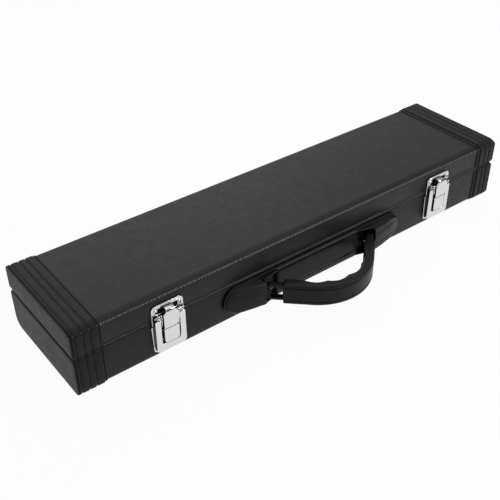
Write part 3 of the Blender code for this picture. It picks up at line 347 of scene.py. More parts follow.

# %% [markdown]
# ### Metals
#
# Chrome plate on stamped steel is a mirror, but the sheet under it is never quite flat, and hands
# leave a faint haze. Dents could be modelled, but a slow bump bends the reflections as well, and a
# fine noise spreads the roughness. A near-black chrome is painted shade: it covers what lies in the
# shade of levers and tongues, and the cuts in the screws. Plain steel is for the pins.


# %% Chrome and steel
def metal(name, colour, smooth, hazy):
    """smooth and hazy are the roughness of clean and of handled spots."""
    material, tree, shader, points = new_finish(name)
    haze = noise(tree, points, 500.0, 4.0)
    bright = tuple(min(1, 1.06 * part) for part in colour)
    fill(
        tree, shader, Metallic=1, Base_Color=mix_colours(tree, spread(tree, haze, 0, 1), colour, bright),
        Roughness=spread(tree, haze, smooth, hazy),
        Normal=bumps(tree, (noise(tree, points, 260.0, 1.0), 0.10, 0.0003)),
    )
    return material


CHROME = metal("chrome", shade(0.66, 0.67), 0.06, 0.13)
# A near-black chrome: painted shade for gaps and recesses that lie in shade
SHADE_PAINT = metal("chrome_painted_shade", shade(0.05, 0.055), 0.30, 0.40)
STEEL = metal("pin_steel", shade(0.40, 0.42), 0.18, 0.30)
print("metals made")

# %% [markdown]
# ### Plastic and plush
#
# The handle is moulded in black plastic with a fine spark-eroded texture, a little duller than the
# leatherette. The inside is plush, a short upright pile over foam that darkens where it leans. Hair
# particles could grow the pile, but it is shorter than a millimetre, so a sheen and three sizes of
# bump do for it.


# %% Black plastic
def moulded(name, colour, worn):
    material, tree, shader, points = new_finish(name)
    cloud = noise(tree, points, 120.0, 4.0)
    fill(
        tree, shader, Base_Color=mix_colours(tree, spread(tree, cloud, 0, 1), colour, worn),
        Roughness=spread(tree, cloud, 0.34, 0.44), Specular_IOR_Level=0.15,
        Normal=bumps(tree, (noise(tree, points, 1800.0, 3.0), 0.12, 0.0001)),
    )
    return material


BLACK_PLASTIC = moulded("handle_plastic", shade(0.0055, 0.0060), shade(0.0110, 0.0115))
print("plastic made")


# %% Plush
def plush(name, deep, pale):
    material, tree, shader, points = new_finish(name)
    lean = noise(tree, points, 45.0, 3.0)
    pile = noise(tree, points, 2400.0, 4.0)
    tufts = cells(tree, points, 1500.0)
    blend = maths(tree, "MULTIPLY", spread(tree, lean, 0.2, 1), spread(tree, pile, 0.3, 1))
    fill(
        tree, shader, Base_Color=mix_colours(tree, blend, deep, pale), Roughness=0.95,
        Specular_IOR_Level=0.15, Sheen_Weight=0.55, Sheen_Roughness=0.35, Sheen_Tint=(0.35, 0.42, 0.9, 1),
        Normal=bumps(tree, (lean, 0.3, 0.0012), (pile, 0.5, 0.0003), (tufts, 0.3, 0.0002)),
    )
    return material


PLUSH = plush("plush", (0.006, 0.009, 0.045, 1), (0.020, 0.028, 0.130, 1))
print("plush made")

# %% [markdown]
# ## The two halves of the case
#
# Each half is a tray: a rounded skin drawn along the case, two end walls, a rim and a lined hollow. A
# box with a Bevel modifier would have one roundness everywhere. The real lid falls away slowly
# towards its front corner, which gives a soft dark band and a bright crease along the edge, so each
# half's section is drawn as a line and pulled along the case, and bevels round only its ends and
# rims. The base's rim is rolled in further than the lid's, so the parting is a dark line under a
# bright one.


# %% Helpers for meshes
def new_mesh(work):
    """Point the faces outwards and make the work a mesh."""
    bmesh.ops.recalc_face_normals(work, faces=work.faces)
    mesh = bpy.data.meshes.new("shape")
    work.to_mesh(mesh)
    work.free()
    return mesh


def hold(data, name="holder"):
    """An object that holds a mesh or curve while modifiers work on it."""
    holder = bpy.data.objects.new(name, data)
    bpy.context.scene.collection.objects.link(holder)
    return holder


def evaluated_mesh(holder):
    """The object's mesh with its modifiers applied; the object is removed."""
    graph = bpy.context.evaluated_depsgraph_get()
    graph.update()
    mesh = bpy.data.meshes.new_from_object(holder.evaluated_get(graph))
    bpy.data.objects.remove(holder)
    return mesh


def softened(mesh, width, segments=3):
    """Round the sharp edges."""
    holder = hold(mesh)
    bevel = holder.modifiers.new("edges", "BEVEL")
    bevel.width = width
    bevel.segments = segments
    bevel.limit_method = "ANGLE"
    bevel.angle_limit = radians(40)
    return evaluated_mesh(holder)


# %% How a piece joins the case
SHARP_ABOVE = radians(32)


def put(name, mesh, body, materials, slot, *nodes):
    """Make the mesh a named piece that rides on a body and stands for CAD nodes."""
    piece = hold(mesh, name)
    mesh.name = name
    for material in materials:
        mesh.materials.append(material)
    mesh.shade_smooth()
    mesh.set_sharp_from_angle(angle=SHARP_ABOVE)
    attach(piece, body)
    if nodes:
        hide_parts(*nodes)
    print(name, "rides on", body, "with", len(mesh.polygons), "faces")
    return piece


# %% Rounded corners of the section
CORNER_STEPS = 12


def quarter(width, height, steps=CORNER_STEPS):
    """A quarter round from the face to the closed side, as (in from the one, down from the other)."""
    turns = [pi / 2 * i / steps for i in range(steps + 1)]
    return [(width * (1 - cos(a)), height * (1 - sin(a))) for a in turns]


def slow_corner(reach, drop, radius, slope):
    """A tight corner that runs on into a long fall of the given slope."""
    turn = pi / 2 - slope
    turns = [turn * i / CORNER_STEPS for i in range(CORNER_STEPS + 1)]
    points = [(radius * (1 - cos(a)), drop + radius * (sin(turn) - sin(a))) for a in turns]
    start = points[-1][0]
    power = tan(slope) * (reach - start) / drop
    shares = [i / CORNER_STEPS for i in range(1, CORNER_STEPS + 1)]
    return points + [(start + (reach - start) * t, drop * (1 - t) ** power) for t in shares]


class Half:
    """One half of the case: its rim, its closed side, and the corners of its section."""

    def __init__(self, body, rim, closed, front_corner, back_corner, rim_roll):
        self.body, self.rim, self.closed, self.rim_roll = body, rim, closed, rim_roll
        self.front_corner, self.back_corner = front_corner, back_corner
        self.side = 1 if rim > closed else -1

    def line(self):
        """(y, z) points round the closed side, from below the front rim to below the back rim."""
        points = [(FRONT + along, self.closed + self.side * down) for along, down in self.front_corner]
        back = [(BACK - along, self.closed + self.side * down) for along, down in self.back_corner]
        return points + back[::-1]


lid_corner = slow_corner(6.8 * MM, 1.75 * MM, 1.3 * MM, radians(27))
LID = Half("lid", LID_RIM, TOP, lid_corner, quarter(3.2 * MM, 3.2 * MM), 0.7 * MM)
BASE = Half("base", BASE_RIM, BOTTOM, quarter(3.8 * MM, 3.8 * MM), quarter(7.5 * MM, 7.5 * MM), 1.7 * MM)
print("points in a section:", len(LID.line()), "in the lid and", len(BASE.line()), "in the base")

# %% One tray
WALL = 4.0 * MM
SKIN_EDGE = 0.9 * MM
PAD_DEPTH = 1.0 * MM


def tray(half):
    """The tray's closed mesh; the hollow's faces take the second material."""
    line = [(FRONT, half.rim), *half.line(), (BACK, half.rim)]
    work = bmesh.new()
    reach = HALF_LENGTH - PAD_DEPTH
    ends = [[work.verts.new((x, y, z)) for y, z in line] for x in (-reach, reach)]
    for i in range(len(line) - 1):
        work.faces.new((ends[0][i], ends[0][i + 1], ends[1][i + 1], ends[1][i]))
    for end in ends:
        work.faces.new(end)
    x = HALF_LENGTH - WALL
    corners = [(-x, FRONT + WALL), (x, FRONT + WALL), (x, BACK - WALL), (-x, BACK - WALL)]
    mouth = [work.verts.new((*corner, half.rim)) for corner in corners]
    floor_ring = [work.verts.new((*corner, half.closed + half.side * WALL)) for corner in corners]
    outer = [ends[0][0], ends[1][0], ends[1][-1], ends[0][-1]]
    for i in range(4):
        j = (i + 1) % 4
        work.faces.new((outer[i], outer[j], mouth[j], mouth[i]))
        work.faces.new((mouth[i], mouth[j], floor_ring[j], floor_ring[i])).material_index = 1
    work.faces.new(floor_ring).material_index = 1
    rim_edges = [work.edges.get((outer[i], outer[(i + 1) % 4])) for i in range(4)]
    bmesh.ops.bevel(work, geom=rim_edges, offset=half.rim_roll, segments=5, profile=0.5, affect="EDGES")
    return softened(new_mesh(work), SKIN_EDGE)


# %% Make the lid and the base
for half in (LID, BASE):
    put(half.body + "_skin", tray(half), half.body, (SKIN, PLUSH), "leatherette", half.body + "_shell")

# %% [markdown]
# ## Ribbed bands
#
# The ends are wrapped in a second skin pressed into ribs of different widths, and a narrow bead ends
# the band. Displacement could press them into the tray, but it needs a very fine mesh for crisp
# grooves. Here one rib is a rounded bar that Geometry Nodes sweep along the tray's outline, and every
# rib of a band runs through the same tree with its own width and place.

# %% Helpers for Geometry Nodes
WELD_REACH = 0.000005


def new_tree(name, **inputs):
    """A tree with named inputs, each given with the kind of its socket."""
    tree = bpy.data.node_groups.new(name, "GeometryNodeTree")
    for label, kind in {"Geometry": "Geometry", **inputs}.items():
        tree.interface.new_socket(label, in_out="INPUT", socket_type="NodeSocket" + kind)
    tree.interface.new_socket("Geometry", in_out="OUTPUT", socket_type="NodeSocketGeometry")
    return tree, tree.nodes.new("NodeGroupInput").outputs


def geo(tree, kind, settings=None, **inputs):
    """A Geometry Nodes node's first output."""
    return add_node(tree, "GeometryNode" + kind, settings, **inputs).outputs[0]


def end_tree(tree, geometry, material, recess=None):
    """Real geometry in one material, or in a second one where a face attribute says recess."""
    real = geo(tree, "RealizeInstances", Geometry=geometry)
    dressed = geo(tree, "SetMaterial", Geometry=real, Material=material)
    if recess is not None:
        chosen = geo(tree, "InputNamedAttribute", {"data_type": "BOOLEAN"}, Name="recess")
        dressed = geo(tree, "SetMaterial", Geometry=dressed, Selection=chosen, Material=recess)
    tree.links.new(dressed, tree.nodes.new("NodeGroupOutput").inputs[0])
    print(tree.name, "has", len(tree.nodes), "nodes")


def weld(mesh):
    """Merge points that lie on each other."""
    work = bmesh.new()
    work.from_mesh(mesh)
    bmesh.ops.remove_doubles(work, verts=work.verts, dist=WELD_REACH)
    return new_mesh(work)


def joined(*meshes):
    """One mesh of several."""
    work = bmesh.new()
    for mesh in meshes:
        work.from_mesh(mesh)
    mesh = bpy.data.meshes.new("joined")
    work.to_mesh(mesh)
    work.free()
    return mesh


def grown(data, tree, values):
    """Run a tree on a mesh or curve; the empty first slot that this leaves is counted out."""
    holder = hold(data)
    modifier = holder.modifiers.new(tree.name, "NODES")
    modifier.node_group = tree
    for item in tree.interface.items_tree:
        if item.in_out == "INPUT" and item.name in values:
            modifier[item.identifier] = values[item.name]
    mesh = evaluated_mesh(holder)
    used = sorted({face.material_index for face in mesh.polygons})
    for face in mesh.polygons:
        face.material_index = used.index(face.material_index)
    return weld(mesh)


# %% The rib tree
rib_tree, sizes = new_tree(
    "pressed_rib", Width="Float", Place="Float", Rise="Float", Round="Float", Finish="Material"
)
depth = maths(rib_tree, "MULTIPLY", sizes["Rise"], 2.0)
bar = geo(rib_tree, "CurvePrimitiveQuadrilateral", Width=sizes["Width"], Height=depth)
rounding = {"Count": 4, "Radius": sizes["Round"], "Limit_Radius": True}
soft_bar = geo(rib_tree, "FilletCurve", {"mode": "POLY"}, Curve=bar, **rounding)
path = geo(rib_tree, "SetCurveNormal", {"mode": "FREE"}, Curve=sizes["Geometry"], Normal=(1, 0, 0))
rib = geo(rib_tree, "CurveToMesh", Curve=path, Profile_Curve=soft_bar, Fill_Caps=True)
aside = add_node(rib_tree, "ShaderNodeCombineXYZ", X=sizes["Place"]).outputs[0]
end_tree(rib_tree, geo(rib_tree, "Transform", Geometry=rib, Translation=aside), sizes["Finish"])

# %% The path of a rib
RIM_PULL = 0.3 * MM
ROLL_STEPS = 4


def poly_curve(*loops, closed=False, **settings):
    """A curve of straight pieces; settings are the curve's own values."""
    curve = bpy.data.curves.new("line", "CURVE")
    curve.dimensions = "3D"
    for name, value in settings.items():
        setattr(curve, name, value)
    for loop in loops:
        spline = curve.splines.new("POLY")
        spline.points.add(len(loop) - 1)
        spline.use_cyclic_u = closed
        for point, place in zip(spline.points, loop):
            point.co = (*place, 1)
    return curve


def band_line(half, pull):
    """The tray's outline with both ends rolled in, so that a rib on it stays below the rim."""
    end = half.rim - half.side * (RIB_RISE + pull)
    rolled = quarter(half.rim_roll, half.rim_roll, ROLL_STEPS)
    points = [(FRONT + along, end - half.side * down) for along, down in rolled[::-1]] + half.line()
    return points + [(BACK - along, end - half.side * down) for along, down in rolled]


# %% Grow the four bands
RIBS = {"left": (2.5, 6.0, 5.2, 6.6), "right": (6.8, 5.6, 6.4)}
BEAD = {"left": 1.9, "right": 3.5}
RIB_GROOVE = 0.65 * MM
RIB_ROUND = 0.9 * MM
GROOVE_FLOOR = 0.55 * MM
FLOOR_SHORT = 1.6
BEAD_SHARE = 0.6


def band(half, side):
    """Ribs side by side from the case's end inwards, a bead, and the floor of their grooves."""
    bars = []
    start = PAD_DEPTH / MM
    bead_width = BEAD[HAND[side]]
    for width in RIBS[HAND[side]]:
        bars.append((start + width / 2, width * MM - RIB_GROOVE, RIB_RISE))
        start += width
    bars.append((start + bead_width / 2, bead_width * MM - RIB_GROOVE, BEAD_SHARE * RIB_RISE))
    bars.append(((start + FLOOR_SHORT / 2) / 2, (start - FLOOR_SHORT) * MM, GROOVE_FLOOR))
    outline = [(0, y, z) for y, z in band_line(half, RIM_PULL)]
    meshes = []
    for place, width, rise in bars:
        values = {"Width": width, "Rise": rise, "Round": min(RIB_ROUND, 0.48 * width), "Finish": RIB_SKIN}
        values["Place"] = side * (HALF_LENGTH - place * MM)
        meshes.append(grown(poly_curve(outline), rib_tree, values))
    return joined(*meshes)


for side, hand in HAND.items():
    for half in (BASE, LID):
        node = f"{half.body}_ribs_{hand}"
        put(f"{half.body}_band_{hand}", band(half, side), half.body, (RIB_SKIN,), "leatherette", node)

# %% [markdown]
# ## End panels and hem
#
# The end faces are padded panels as high as the ribs, with softly rounded edges all round. A cloth
# pillow would bulge like this, but the real pad is under a tight skin, so the panel's outline is
# simply drawn in along a quarter round. A fine welt is wrapped into the lid's lower edge between the
# bands. Its leatherette is paler than the rest: a painted highlight over the parting.


# %% Helpers for lofts
def loft(sections, ends=True):
    """Skin a row of sections that have equally many points."""
    work = bmesh.new()
    rings = [[work.verts.new(point) for point in section] for section in sections]
    for ring, following in zip(rings, rings[1:]):
        for i in range(len(ring)):
            j = (i + 1) % len(ring)
            work.faces.new((ring[i], ring[j], following[j], following[i]))
    if ends:
        work.faces.new(rings[0])
        work.faces.new(rings[-1])
    return new_mesh(work)


def moved_out(points, reach, closed):
    """(y, z) points moved outwards, square to their line, whether it is open or closed."""
    count = len(points)
    result = []
    for i, (y, z) in enumerate(points):
        before = points[i - 1] if closed or i > 0 else points[i]
        after = points[(i + 1) % count] if closed or i < count - 1 else points[i]
        along, climb = after[0] - before[0], after[1] - before[1]
        share = reach / hypot(along, climb)
        result.append((y + climb * share, z - along * share))
    return result


# %% End panels
PAD_EDGE = 0.95 * MM
PAD_INSET = 1.6 * MM
PAD_PULL = 1.1 * MM


def end_panel(half, side):
    outline = moved_out(band_line(half, PAD_PULL), half.side * RIB_RISE, False)
    rows = [(HALF_LENGTH - PAD_DEPTH, outline)]
    for inset, down in quarter(PAD_INSET, PAD_EDGE, 6):
        rows.append((HALF_LENGTH - down, moved_out(outline, -half.side * inset, True)))
    return loft([[(side * x, y, z) for y, z in points] for x, points in rows])


for side, hand in HAND.items():
    for half in (BASE, LID):
        put(f"{half.body}_end_{hand}", end_panel(half, side), half.body, (RIB_SKIN,), "leatherette")

# %% The lid's hem
HEM_RADIUS = 0.5 * MM
HEM_HEIGHT = LID_RIM + 1.1 * HEM_RADIUS


def bead(points, radius):
    """A round bead along points in space."""
    curve = poly_curve(points, bevel_depth=radius, bevel_resolution=2, use_fill_caps=True)
    return weld(evaluated_mesh(hold(curve)))


hem_ends = []
for side, hand in HAND.items():
    hem_ends.append(side * (HALF_LENGTH - (PAD_DEPTH / MM + sum(RIBS[hand]) + BEAD[hand]) * MM))
hems = [bead([(x, y, HEM_HEIGHT) for x in hem_ends], HEM_RADIUS) for y in (FRONT, BACK)]
# The welt wears the pale leatherette of a painted highlight
put("lid_hem", joined(*hems), "lid", (HEM_HIGHLIGHT_SKIN,), "leatherette")

# %% [markdown]
# ## Inside the case
#
# The photograph shows the case closed, so the layout inside is a guess at a common one. A block of
# foam covered in plush holds the flute's three joints. Its channels could be pressed in by moving
# points, but a Boolean cut with a half-round bar leaves true channels with upright walls, and a bevel
# then turns their lips over as the plush does.

# %% Helpers for cutting
ROUND_STEPS = 8


def arc(centre, radius, start, end, steps=ROUND_STEPS):
    """Points along an arc; the angles are in degrees."""
    angles = [radians(start + (end - start) * i / steps) for i in range(steps + 1)]
    return [(centre[0] + radius * cos(a), centre[1] + radius * sin(a)) for a in angles]


def block(low, high):
    work = bmesh.new()
    size = Matrix.Diagonal((*(Vector(high) - Vector(low)), 1))
    middle = (Vector(high) + Vector(low)) / 2
    bmesh.ops.create_cube(work, size=1, matrix=Matrix.Translation(middle) @ size)
    return new_mesh(work)


def carved(mesh, *cutters):
    """Cut one mesh with others by Boolean modifiers."""
    holder = hold(mesh)
    tools = [hold(cutter) for cutter in cutters]
    for tool in tools:
        modifier = holder.modifiers.new("cut", "BOOLEAN")
        modifier.operation = "DIFFERENCE"
        modifier.object = tool
    result = evaluated_mesh(holder)
    for tool in tools:
        bpy.data.objects.remove(tool)
    return result


# %% The insert with its three channels
BEHIND = 40.6 * MM
CHANNELS = {
    "body joint": (0.0, 1.6 * MM, 16.5 * MM, 362 * MM),
    "head joint": (-73.5 * MM, BEHIND, 13.5 * MM, 230 * MM),
    "foot joint": (118.5 * MM, BEHIND, 15.5 * MM, 140 * MM),
}
CHANNEL_FLOOR = 3.0 * MM
LIP_ROUND = 1.8 * MM
insert_low, insert_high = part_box("base_lining")


def channel(x, y, radius, length):
    """The cutter: round below, with upright walls that rise past the insert's top."""
    axis = insert_low.z + CHANNEL_FLOOR + radius
    section = [(y + a, axis + b) for a, b in arc((0, 0), radius, 180, 360, 28)]
    section += [(y + radius, insert_high.z + MM), (y - radius, insert_high.z + MM)]
    ends = (x - length / 2, x + length / 2)
    return loft([[(end, a, b) for a, b in section] for end in ends])


insert = carved(block(insert_low, insert_high), *[channel(*sizes) for sizes in CHANNELS.values()])
put("insert", softened(insert, LIP_ROUND, 4), "base", (PLUSH,), "plush", "base_lining")

# %% [markdown]
# A thin rim stands up inside the parting and guides the lid. It is a closed profile swept round a
# rounded rectangle. A curve with a bevel object would do the same, but a loft keeps the profile
# upright at the corners.


# %% The rim that guides the lid
def rounded_box(x0, z0, x1, z1, low, high=None, steps=ROUND_STEPS):
    """Rectangle with one corner radius below and another above."""
    high = low if high is None else high
    points = arc((x0 + low, z0 + low), low, 180, 270, steps)
    points += arc((x1 - low, z0 + low), low, 270, 360, steps)
    points += arc((x1 - high, z1 - high), high, 0, 90, steps)
    return points + arc((x0 + high, z1 - high), high, 90, 180, steps)


RIM_WALL = 1.5 * MM
RIM_CORNER = 2.4 * MM
rim_low, rim_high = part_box("base_valance")
shoulder, brow = rim_high.z - 0.9 * MM, rim_high.z - 0.3 * MM
profile = [(0, rim_low.z), (0, shoulder), (0.25 * MM, brow), (0.7 * MM, rim_high.z)]
profile += [(1.2 * MM, brow), (RIM_WALL, shoulder), (RIM_WALL, rim_low.z), (0, rim_low.z)]
sections = []
for inset, z in profile:
    edge = (rim_low.x + inset, rim_low.y + inset, rim_high.x - inset, rim_high.y - inset)
    sections.append([(x, y, z) for x, y in rounded_box(*edge, RIM_CORNER - inset)])
put("lid_guide_rim", weld(loft(sections, ends=False)), "base", (PLUSH,), "plush", "base_valance")

# %% [markdown]
# A padded lining in the lid presses on the flute. Cloth simulation could swell it, but this is a firm
# board with little foam, so its face follows a quarter round from the seams to the middle.

# %% The padded lining in the lid
PAD_SIDE_PULL = 0.8 * MM
PAD_SEAM = 1.1 * MM
PAD_CROWN = 2.2 * MM
PAD_CORNER = 4 * MM
PAD_STEPS = 14
pad_low, pad_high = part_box("lid_pad")


def cushion():
    """Flat against the lid, its sides pulled in, its face swelling towards the middle."""
    reach = (pad_high.y - pad_low.y) / 2 - MM
    rows = [(1.6 * MM, pad_high.z), (PAD_SIDE_PULL, pad_high.z - 0.8 * MM)]
    rows += [(0.2 * MM, (pad_low.z + pad_high.z) / 2), (0.5 * MM, pad_low.z + PAD_CROWN + 1.6 * MM)]
    rows += [(PAD_SEAM + a, pad_low.z + b) for a, b in quarter(reach - PAD_SEAM, PAD_CROWN, PAD_STEPS)]
    sections = []
    for inset, height in rows:
        edge = (pad_low.x + inset, pad_low.y + inset, pad_high.x - inset, pad_high.y - inset)
        corner = max(PAD_CORNER - inset, 0.4 * MM)
        sections.append([(x, y, height) for x, y in rounded_box(*edge, corner)])
    return loft(sections)


put("lid_cushion", cushion(), "lid", (PLUSH,), "plush", "lid_pad")

# %% [markdown]
# ## Draw latches
#
# Each latch has a plate screwed to the base with two ears, a lever turning on a pin through the ears,
# and a tongue on the lever whose bent tip reaches into a window in the keeper on the lid. All of it
# is pressed from sheet steel and chromed. A sheet could be a box with a bevel, but a flat curve with
# an extrude and a bevel takes any outline with holes, and its rims come out rolled like pressed
# metal, which gives chrome its bright edges. Places on the front are (x, out from the case, height).


# %% Helpers for pressed sheets
def circle(centre, radius, steps=24):
    return arc(centre, radius, 0, 360 - 360 / steps, steps - 1)


def stamped(outline, holes, thickness, edge, resolution=3):
    """A flat sheet with rounded edges: the outline runs anticlockwise, and holes are turned round."""
    loops = [[(x, y, 0) for x, y in loop] for loop in [outline] + [hole[::-1] for hole in holes]]
    curve = poly_curve(
        *loops, closed=True, dimensions="2D", fill_mode="BOTH", extrude=thickness / 2 - edge,
        bevel_depth=edge, bevel_resolution=resolution, offset=-edge,
    )
    return weld(evaluated_mesh(hold(curve)))


def moved(mesh, turn=None, place=(0, 0, 0)):
    """A copy, turned and then moved. A mirrored one has its faces turned back to point outwards."""
    copy = mesh.copy()
    turn = turn or Matrix.Identity(4)
    copy.transform(Matrix.Translation(place) @ turn)
    if turn.determinant() < 0:
        copy.flip_normals()
    return copy


def paint_shade(mesh, chosen=lambda face: True):
    """Give the faces that the test picks the second material, the painted shade."""
    for face in mesh.polygons:
        if chosen(face):
            face.material_index = 1
    return mesh


# %% Helpers for places on the front
FACING_FRONT = Euler((pi / 2, 0, 0)).to_matrix().to_4x4()
FACING_BACK = Euler((pi / 2, 0, pi)).to_matrix().to_4x4()
FACING_SIDE = Euler((pi / 2, 0, -pi / 2)).to_matrix().to_4x4()
ALONG_X = Euler((0, pi / 2, 0)).to_matrix().to_4x4()


def middle_of(node):
    low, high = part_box(node)
    return (low + high) / 2


def on_front(mesh, x, out, turn=FACING_FRONT):
    return moved(mesh, turn, (x, FRONT - out, 0))


latch_x = {hand: middle_of("strike_plate_" + hand).x for hand in HAND.values()}
print("latches at", [round(x / MM, 1) for x in latch_x.values()], "mm")

# %% Sizes that the latch's parts share
SHEET = 1.0 * MM
SHEET_EDGE = 0.3 * MM
PLATE_SPLIT = 30.7 * MM
SHADE_HALF = 12.4 * MM
LEVER_PIVOT = (3.3 * MM, 38.5 * MM)
TONGUE_PIVOT = (3.2 * MM, 26.4 * MM)
ROLL_RADIUS = 1.6 * MM


def shaded(outline, x, out):
    """A thin sheet of painted shade over chrome that lies in the lever's shade."""
    return paint_shade(on_front(stamped(outline, [], 0.3 * MM, 0.1 * MM), x, out))


# %% The keeper on the lid
KEEPER_HALF = 13.0 * MM
KEEPER_TOP = 47.5 * MM
KEEPER_RIM = 1.5 * MM
WINDOW_HALF = 8.0 * MM
WINDOW_LOW = 40.0 * MM
WINDOW_HIGH = 44.8 * MM


def keeper(x):
    """Plate with a pressed field inside its rim and a window for the tongue's tip."""
    low = PLATE_SPLIT + GAP
    half, top = KEEPER_HALF - KEEPER_RIM, KEEPER_TOP - KEEPER_RIM
    window = rounded_box(-WINDOW_HALF, WINDOW_LOW, WINDOW_HALF, WINDOW_HIGH, 0.5 * MM, steps=3)
    outline = rounded_box(-KEEPER_HALF, low, KEEPER_HALF, KEEPER_TOP, 0.5 * MM, 3.8 * MM)
    inner = rounded_box(-half, low, half, top, 0.4 * MM, 2.6 * MM)
    rim = on_front(stamped(outline, [window], SHEET, SHEET_EDGE), x, GAP + SHEET / 2)
    field = on_front(stamped(inner, [window], 0.5 * MM, 0.2 * MM), x, GAP + SHEET)
    # A thin patch of painted shade where the lever covers the keeper
    dark = rounded_box(-SHADE_HALF, low + GAP, SHADE_HALF, WINDOW_LOW - GAP, 0.4 * MM, steps=3)
    return joined(rim, field, shaded(dark, x, GAP + SHEET + 0.2 * MM))


# %% The plate on the base
STRIKE_BOTTOM = 6.6 * MM
STRIKE_CORNER = 3.0 * MM
STRIKE_LOW_HALF = 13.1 * MM
STRIKE_TOP_HALF = 13.9 * MM
EAR_ROOT = 2.3 * MM
EAR_FLARE = 2.0 * MM
EAR_PLACE = 6.95 * MM


def ear():
    """Side view of one ear as (out, height): a root on the plate and a ring round the pin."""
    out = LEVER_PIVOT[0]
    root = PLATE_SPLIT - EAR_ROOT
    top = PLATE_SPLIT - GAP
    points = [(SHEET, root), (out, root), (out + ROLL_RADIUS, PLATE_SPLIT + EAR_FLARE)]
    points += arc(LEVER_PIVOT, ROLL_RADIUS, 0, 180) + [(1.6 * MM, top), (SHEET, top)]
    return stamped(points, [circle(LEVER_PIVOT, 0.75 * MM, 12)], 0.7 * MM, 0.12 * MM, 1)


def strike(x):
    """The base's plate, a little wider at its top, with the two ears of the pin."""
    reach, height = STRIKE_LOW_HALF - STRIKE_CORNER, STRIKE_BOTTOM + STRIKE_CORNER
    outline = arc((-reach, height), STRIKE_CORNER, 180, 270) + arc((reach, height), STRIKE_CORNER, 270, 360)
    outline += [(STRIKE_TOP_HALF, PLATE_SPLIT - GAP), (-STRIKE_TOP_HALF, PLATE_SPLIT - GAP)]
    plate = on_front(stamped(outline, [], SHEET, SHEET_EDGE), x, GAP + SHEET / 2)
    # A patch of painted shade where the lever covers the plate
    low, high = STRIKE_BOTTOM + 1.5 * MM, PLATE_SPLIT - 2 * GAP
    dark = shaded(rounded_box(-SHADE_HALF, low, SHADE_HALF, high, 2.0 * MM, GAP), x, GAP + SHEET)
    ears = [on_front(ear(), x + side * EAR_PLACE, 0, FACING_SIDE) for side in SIDES]
    return joined(plate, dark, *ears)


for hand, x in latch_x.items():
    put(f"keeper_{hand}", keeper(x), "lid", (CHROME, SHADE_PAINT), "chrome", f"keeper_plate_{hand}")
    put(f"latch_plate_{hand}", strike(x), "base", (CHROME, SHADE_PAINT), "chrome", f"strike_plate_{hand}")

# %% [markdown]
# ## Levers
#
# The lever is a frame round the tongue. Its two stiles end in rolls on the pin, and their outer
# corners are cut off at a slant before they are rolled. Frame and rolls could be one bent sheet, but
# a stamped frame with turned bars for rolls stays true where they meet. The slant is a part of the
# frame's outline, and a Boolean cuts the same slant from the bars.

# %% The lever's frame
LEVER_HALF = 12.3 * MM
LEVER_BOTTOM = 7.9 * MM
LEVER_FACE = 4.6 * MM
LEVER_CORNER = 3.0 * MM
SLOT_HALF = 7.6 * MM
SLOT_FLOOR = 14.3 * MM
SLOT_CORNER = 2.0 * MM
STILE_CORNER = 0.5 * MM
CUT_FOOT = 35.6 * MM
CUT_TOP = 41.0 * MM
CUT_INSIDE = 8.3 * MM
CUT_SLOPE = (LEVER_HALF - CUT_INSIDE) / (CUT_TOP - CUT_FOOT)
PIN_ROOM = 0.4 * MM


def lever_outline():
    """The frame round the tongue: its slot is open at the top."""
    top = LEVER_PIVOT[1] - ROLL_RADIUS - PIN_ROOM
    half = arc((LEVER_HALF - LEVER_CORNER, LEVER_BOTTOM + LEVER_CORNER), LEVER_CORNER, 270, 360)
    half += [(LEVER_HALF, CUT_FOOT), (LEVER_HALF - (top - CUT_FOOT) * CUT_SLOPE, top)]
    half += arc((SLOT_HALF + STILE_CORNER, top - STILE_CORNER), STILE_CORNER, 90, 180, 3)
    half += arc((SLOT_HALF - SLOT_CORNER, SLOT_FLOOR + SLOT_CORNER), SLOT_CORNER, 360, 270)
    return half + [(-a, b) for a, b in reversed(half)]


# %% The rolls on the pin
def turned(profile, sides=24):
    """Turn (radius, height) points about the z axis; both ends lie on the axis or meet."""
    work = bmesh.new()
    columns = []
    for i in range(sides):
        a = 2 * pi * i / sides
        columns.append([work.verts.new((r * cos(a), r * sin(a), z)) for r, z in profile])
    for column, following in zip(columns, columns[1:] + columns[:1]):
        for i in range(len(profile) - 1):
            work.faces.new((column[i], following[i], following[i + 1], column[i + 1]))
    bmesh.ops.remove_doubles(work, verts=work.verts, dist=WELD_REACH)
    return new_mesh(work)


def rod(radius, length, edge, place):
    """A rod along x with rounded ends."""
    half = length / 2
    profile = [(0, half), (radius - edge, half), (radius, half - edge)]
    return moved(turned(profile + [(r, -z) for r, z in reversed(profile)]), ALONG_X, place)


def roll():
    """The right roll, its outer end slanted like the stile below it."""
    length = LEVER_HALF - SLOT_HALF
    bar = rod(ROLL_RADIUS, length, 0.35 * MM, (SLOT_HALF + length / 2, 0, LEVER_PIVOT[1]))
    beyond = LEVER_HALF + MM
    outline = [(CUT_INSIDE, CUT_TOP), (LEVER_HALF, CUT_FOOT), (beyond, CUT_FOOT), (beyond, CUT_TOP)]
    return carved(bar, loft([[(a, y, b) for a, b in outline] for y in (-4 * MM, 4 * MM)]))


# %% One lever
STILE_WALL = 0.4 * MM


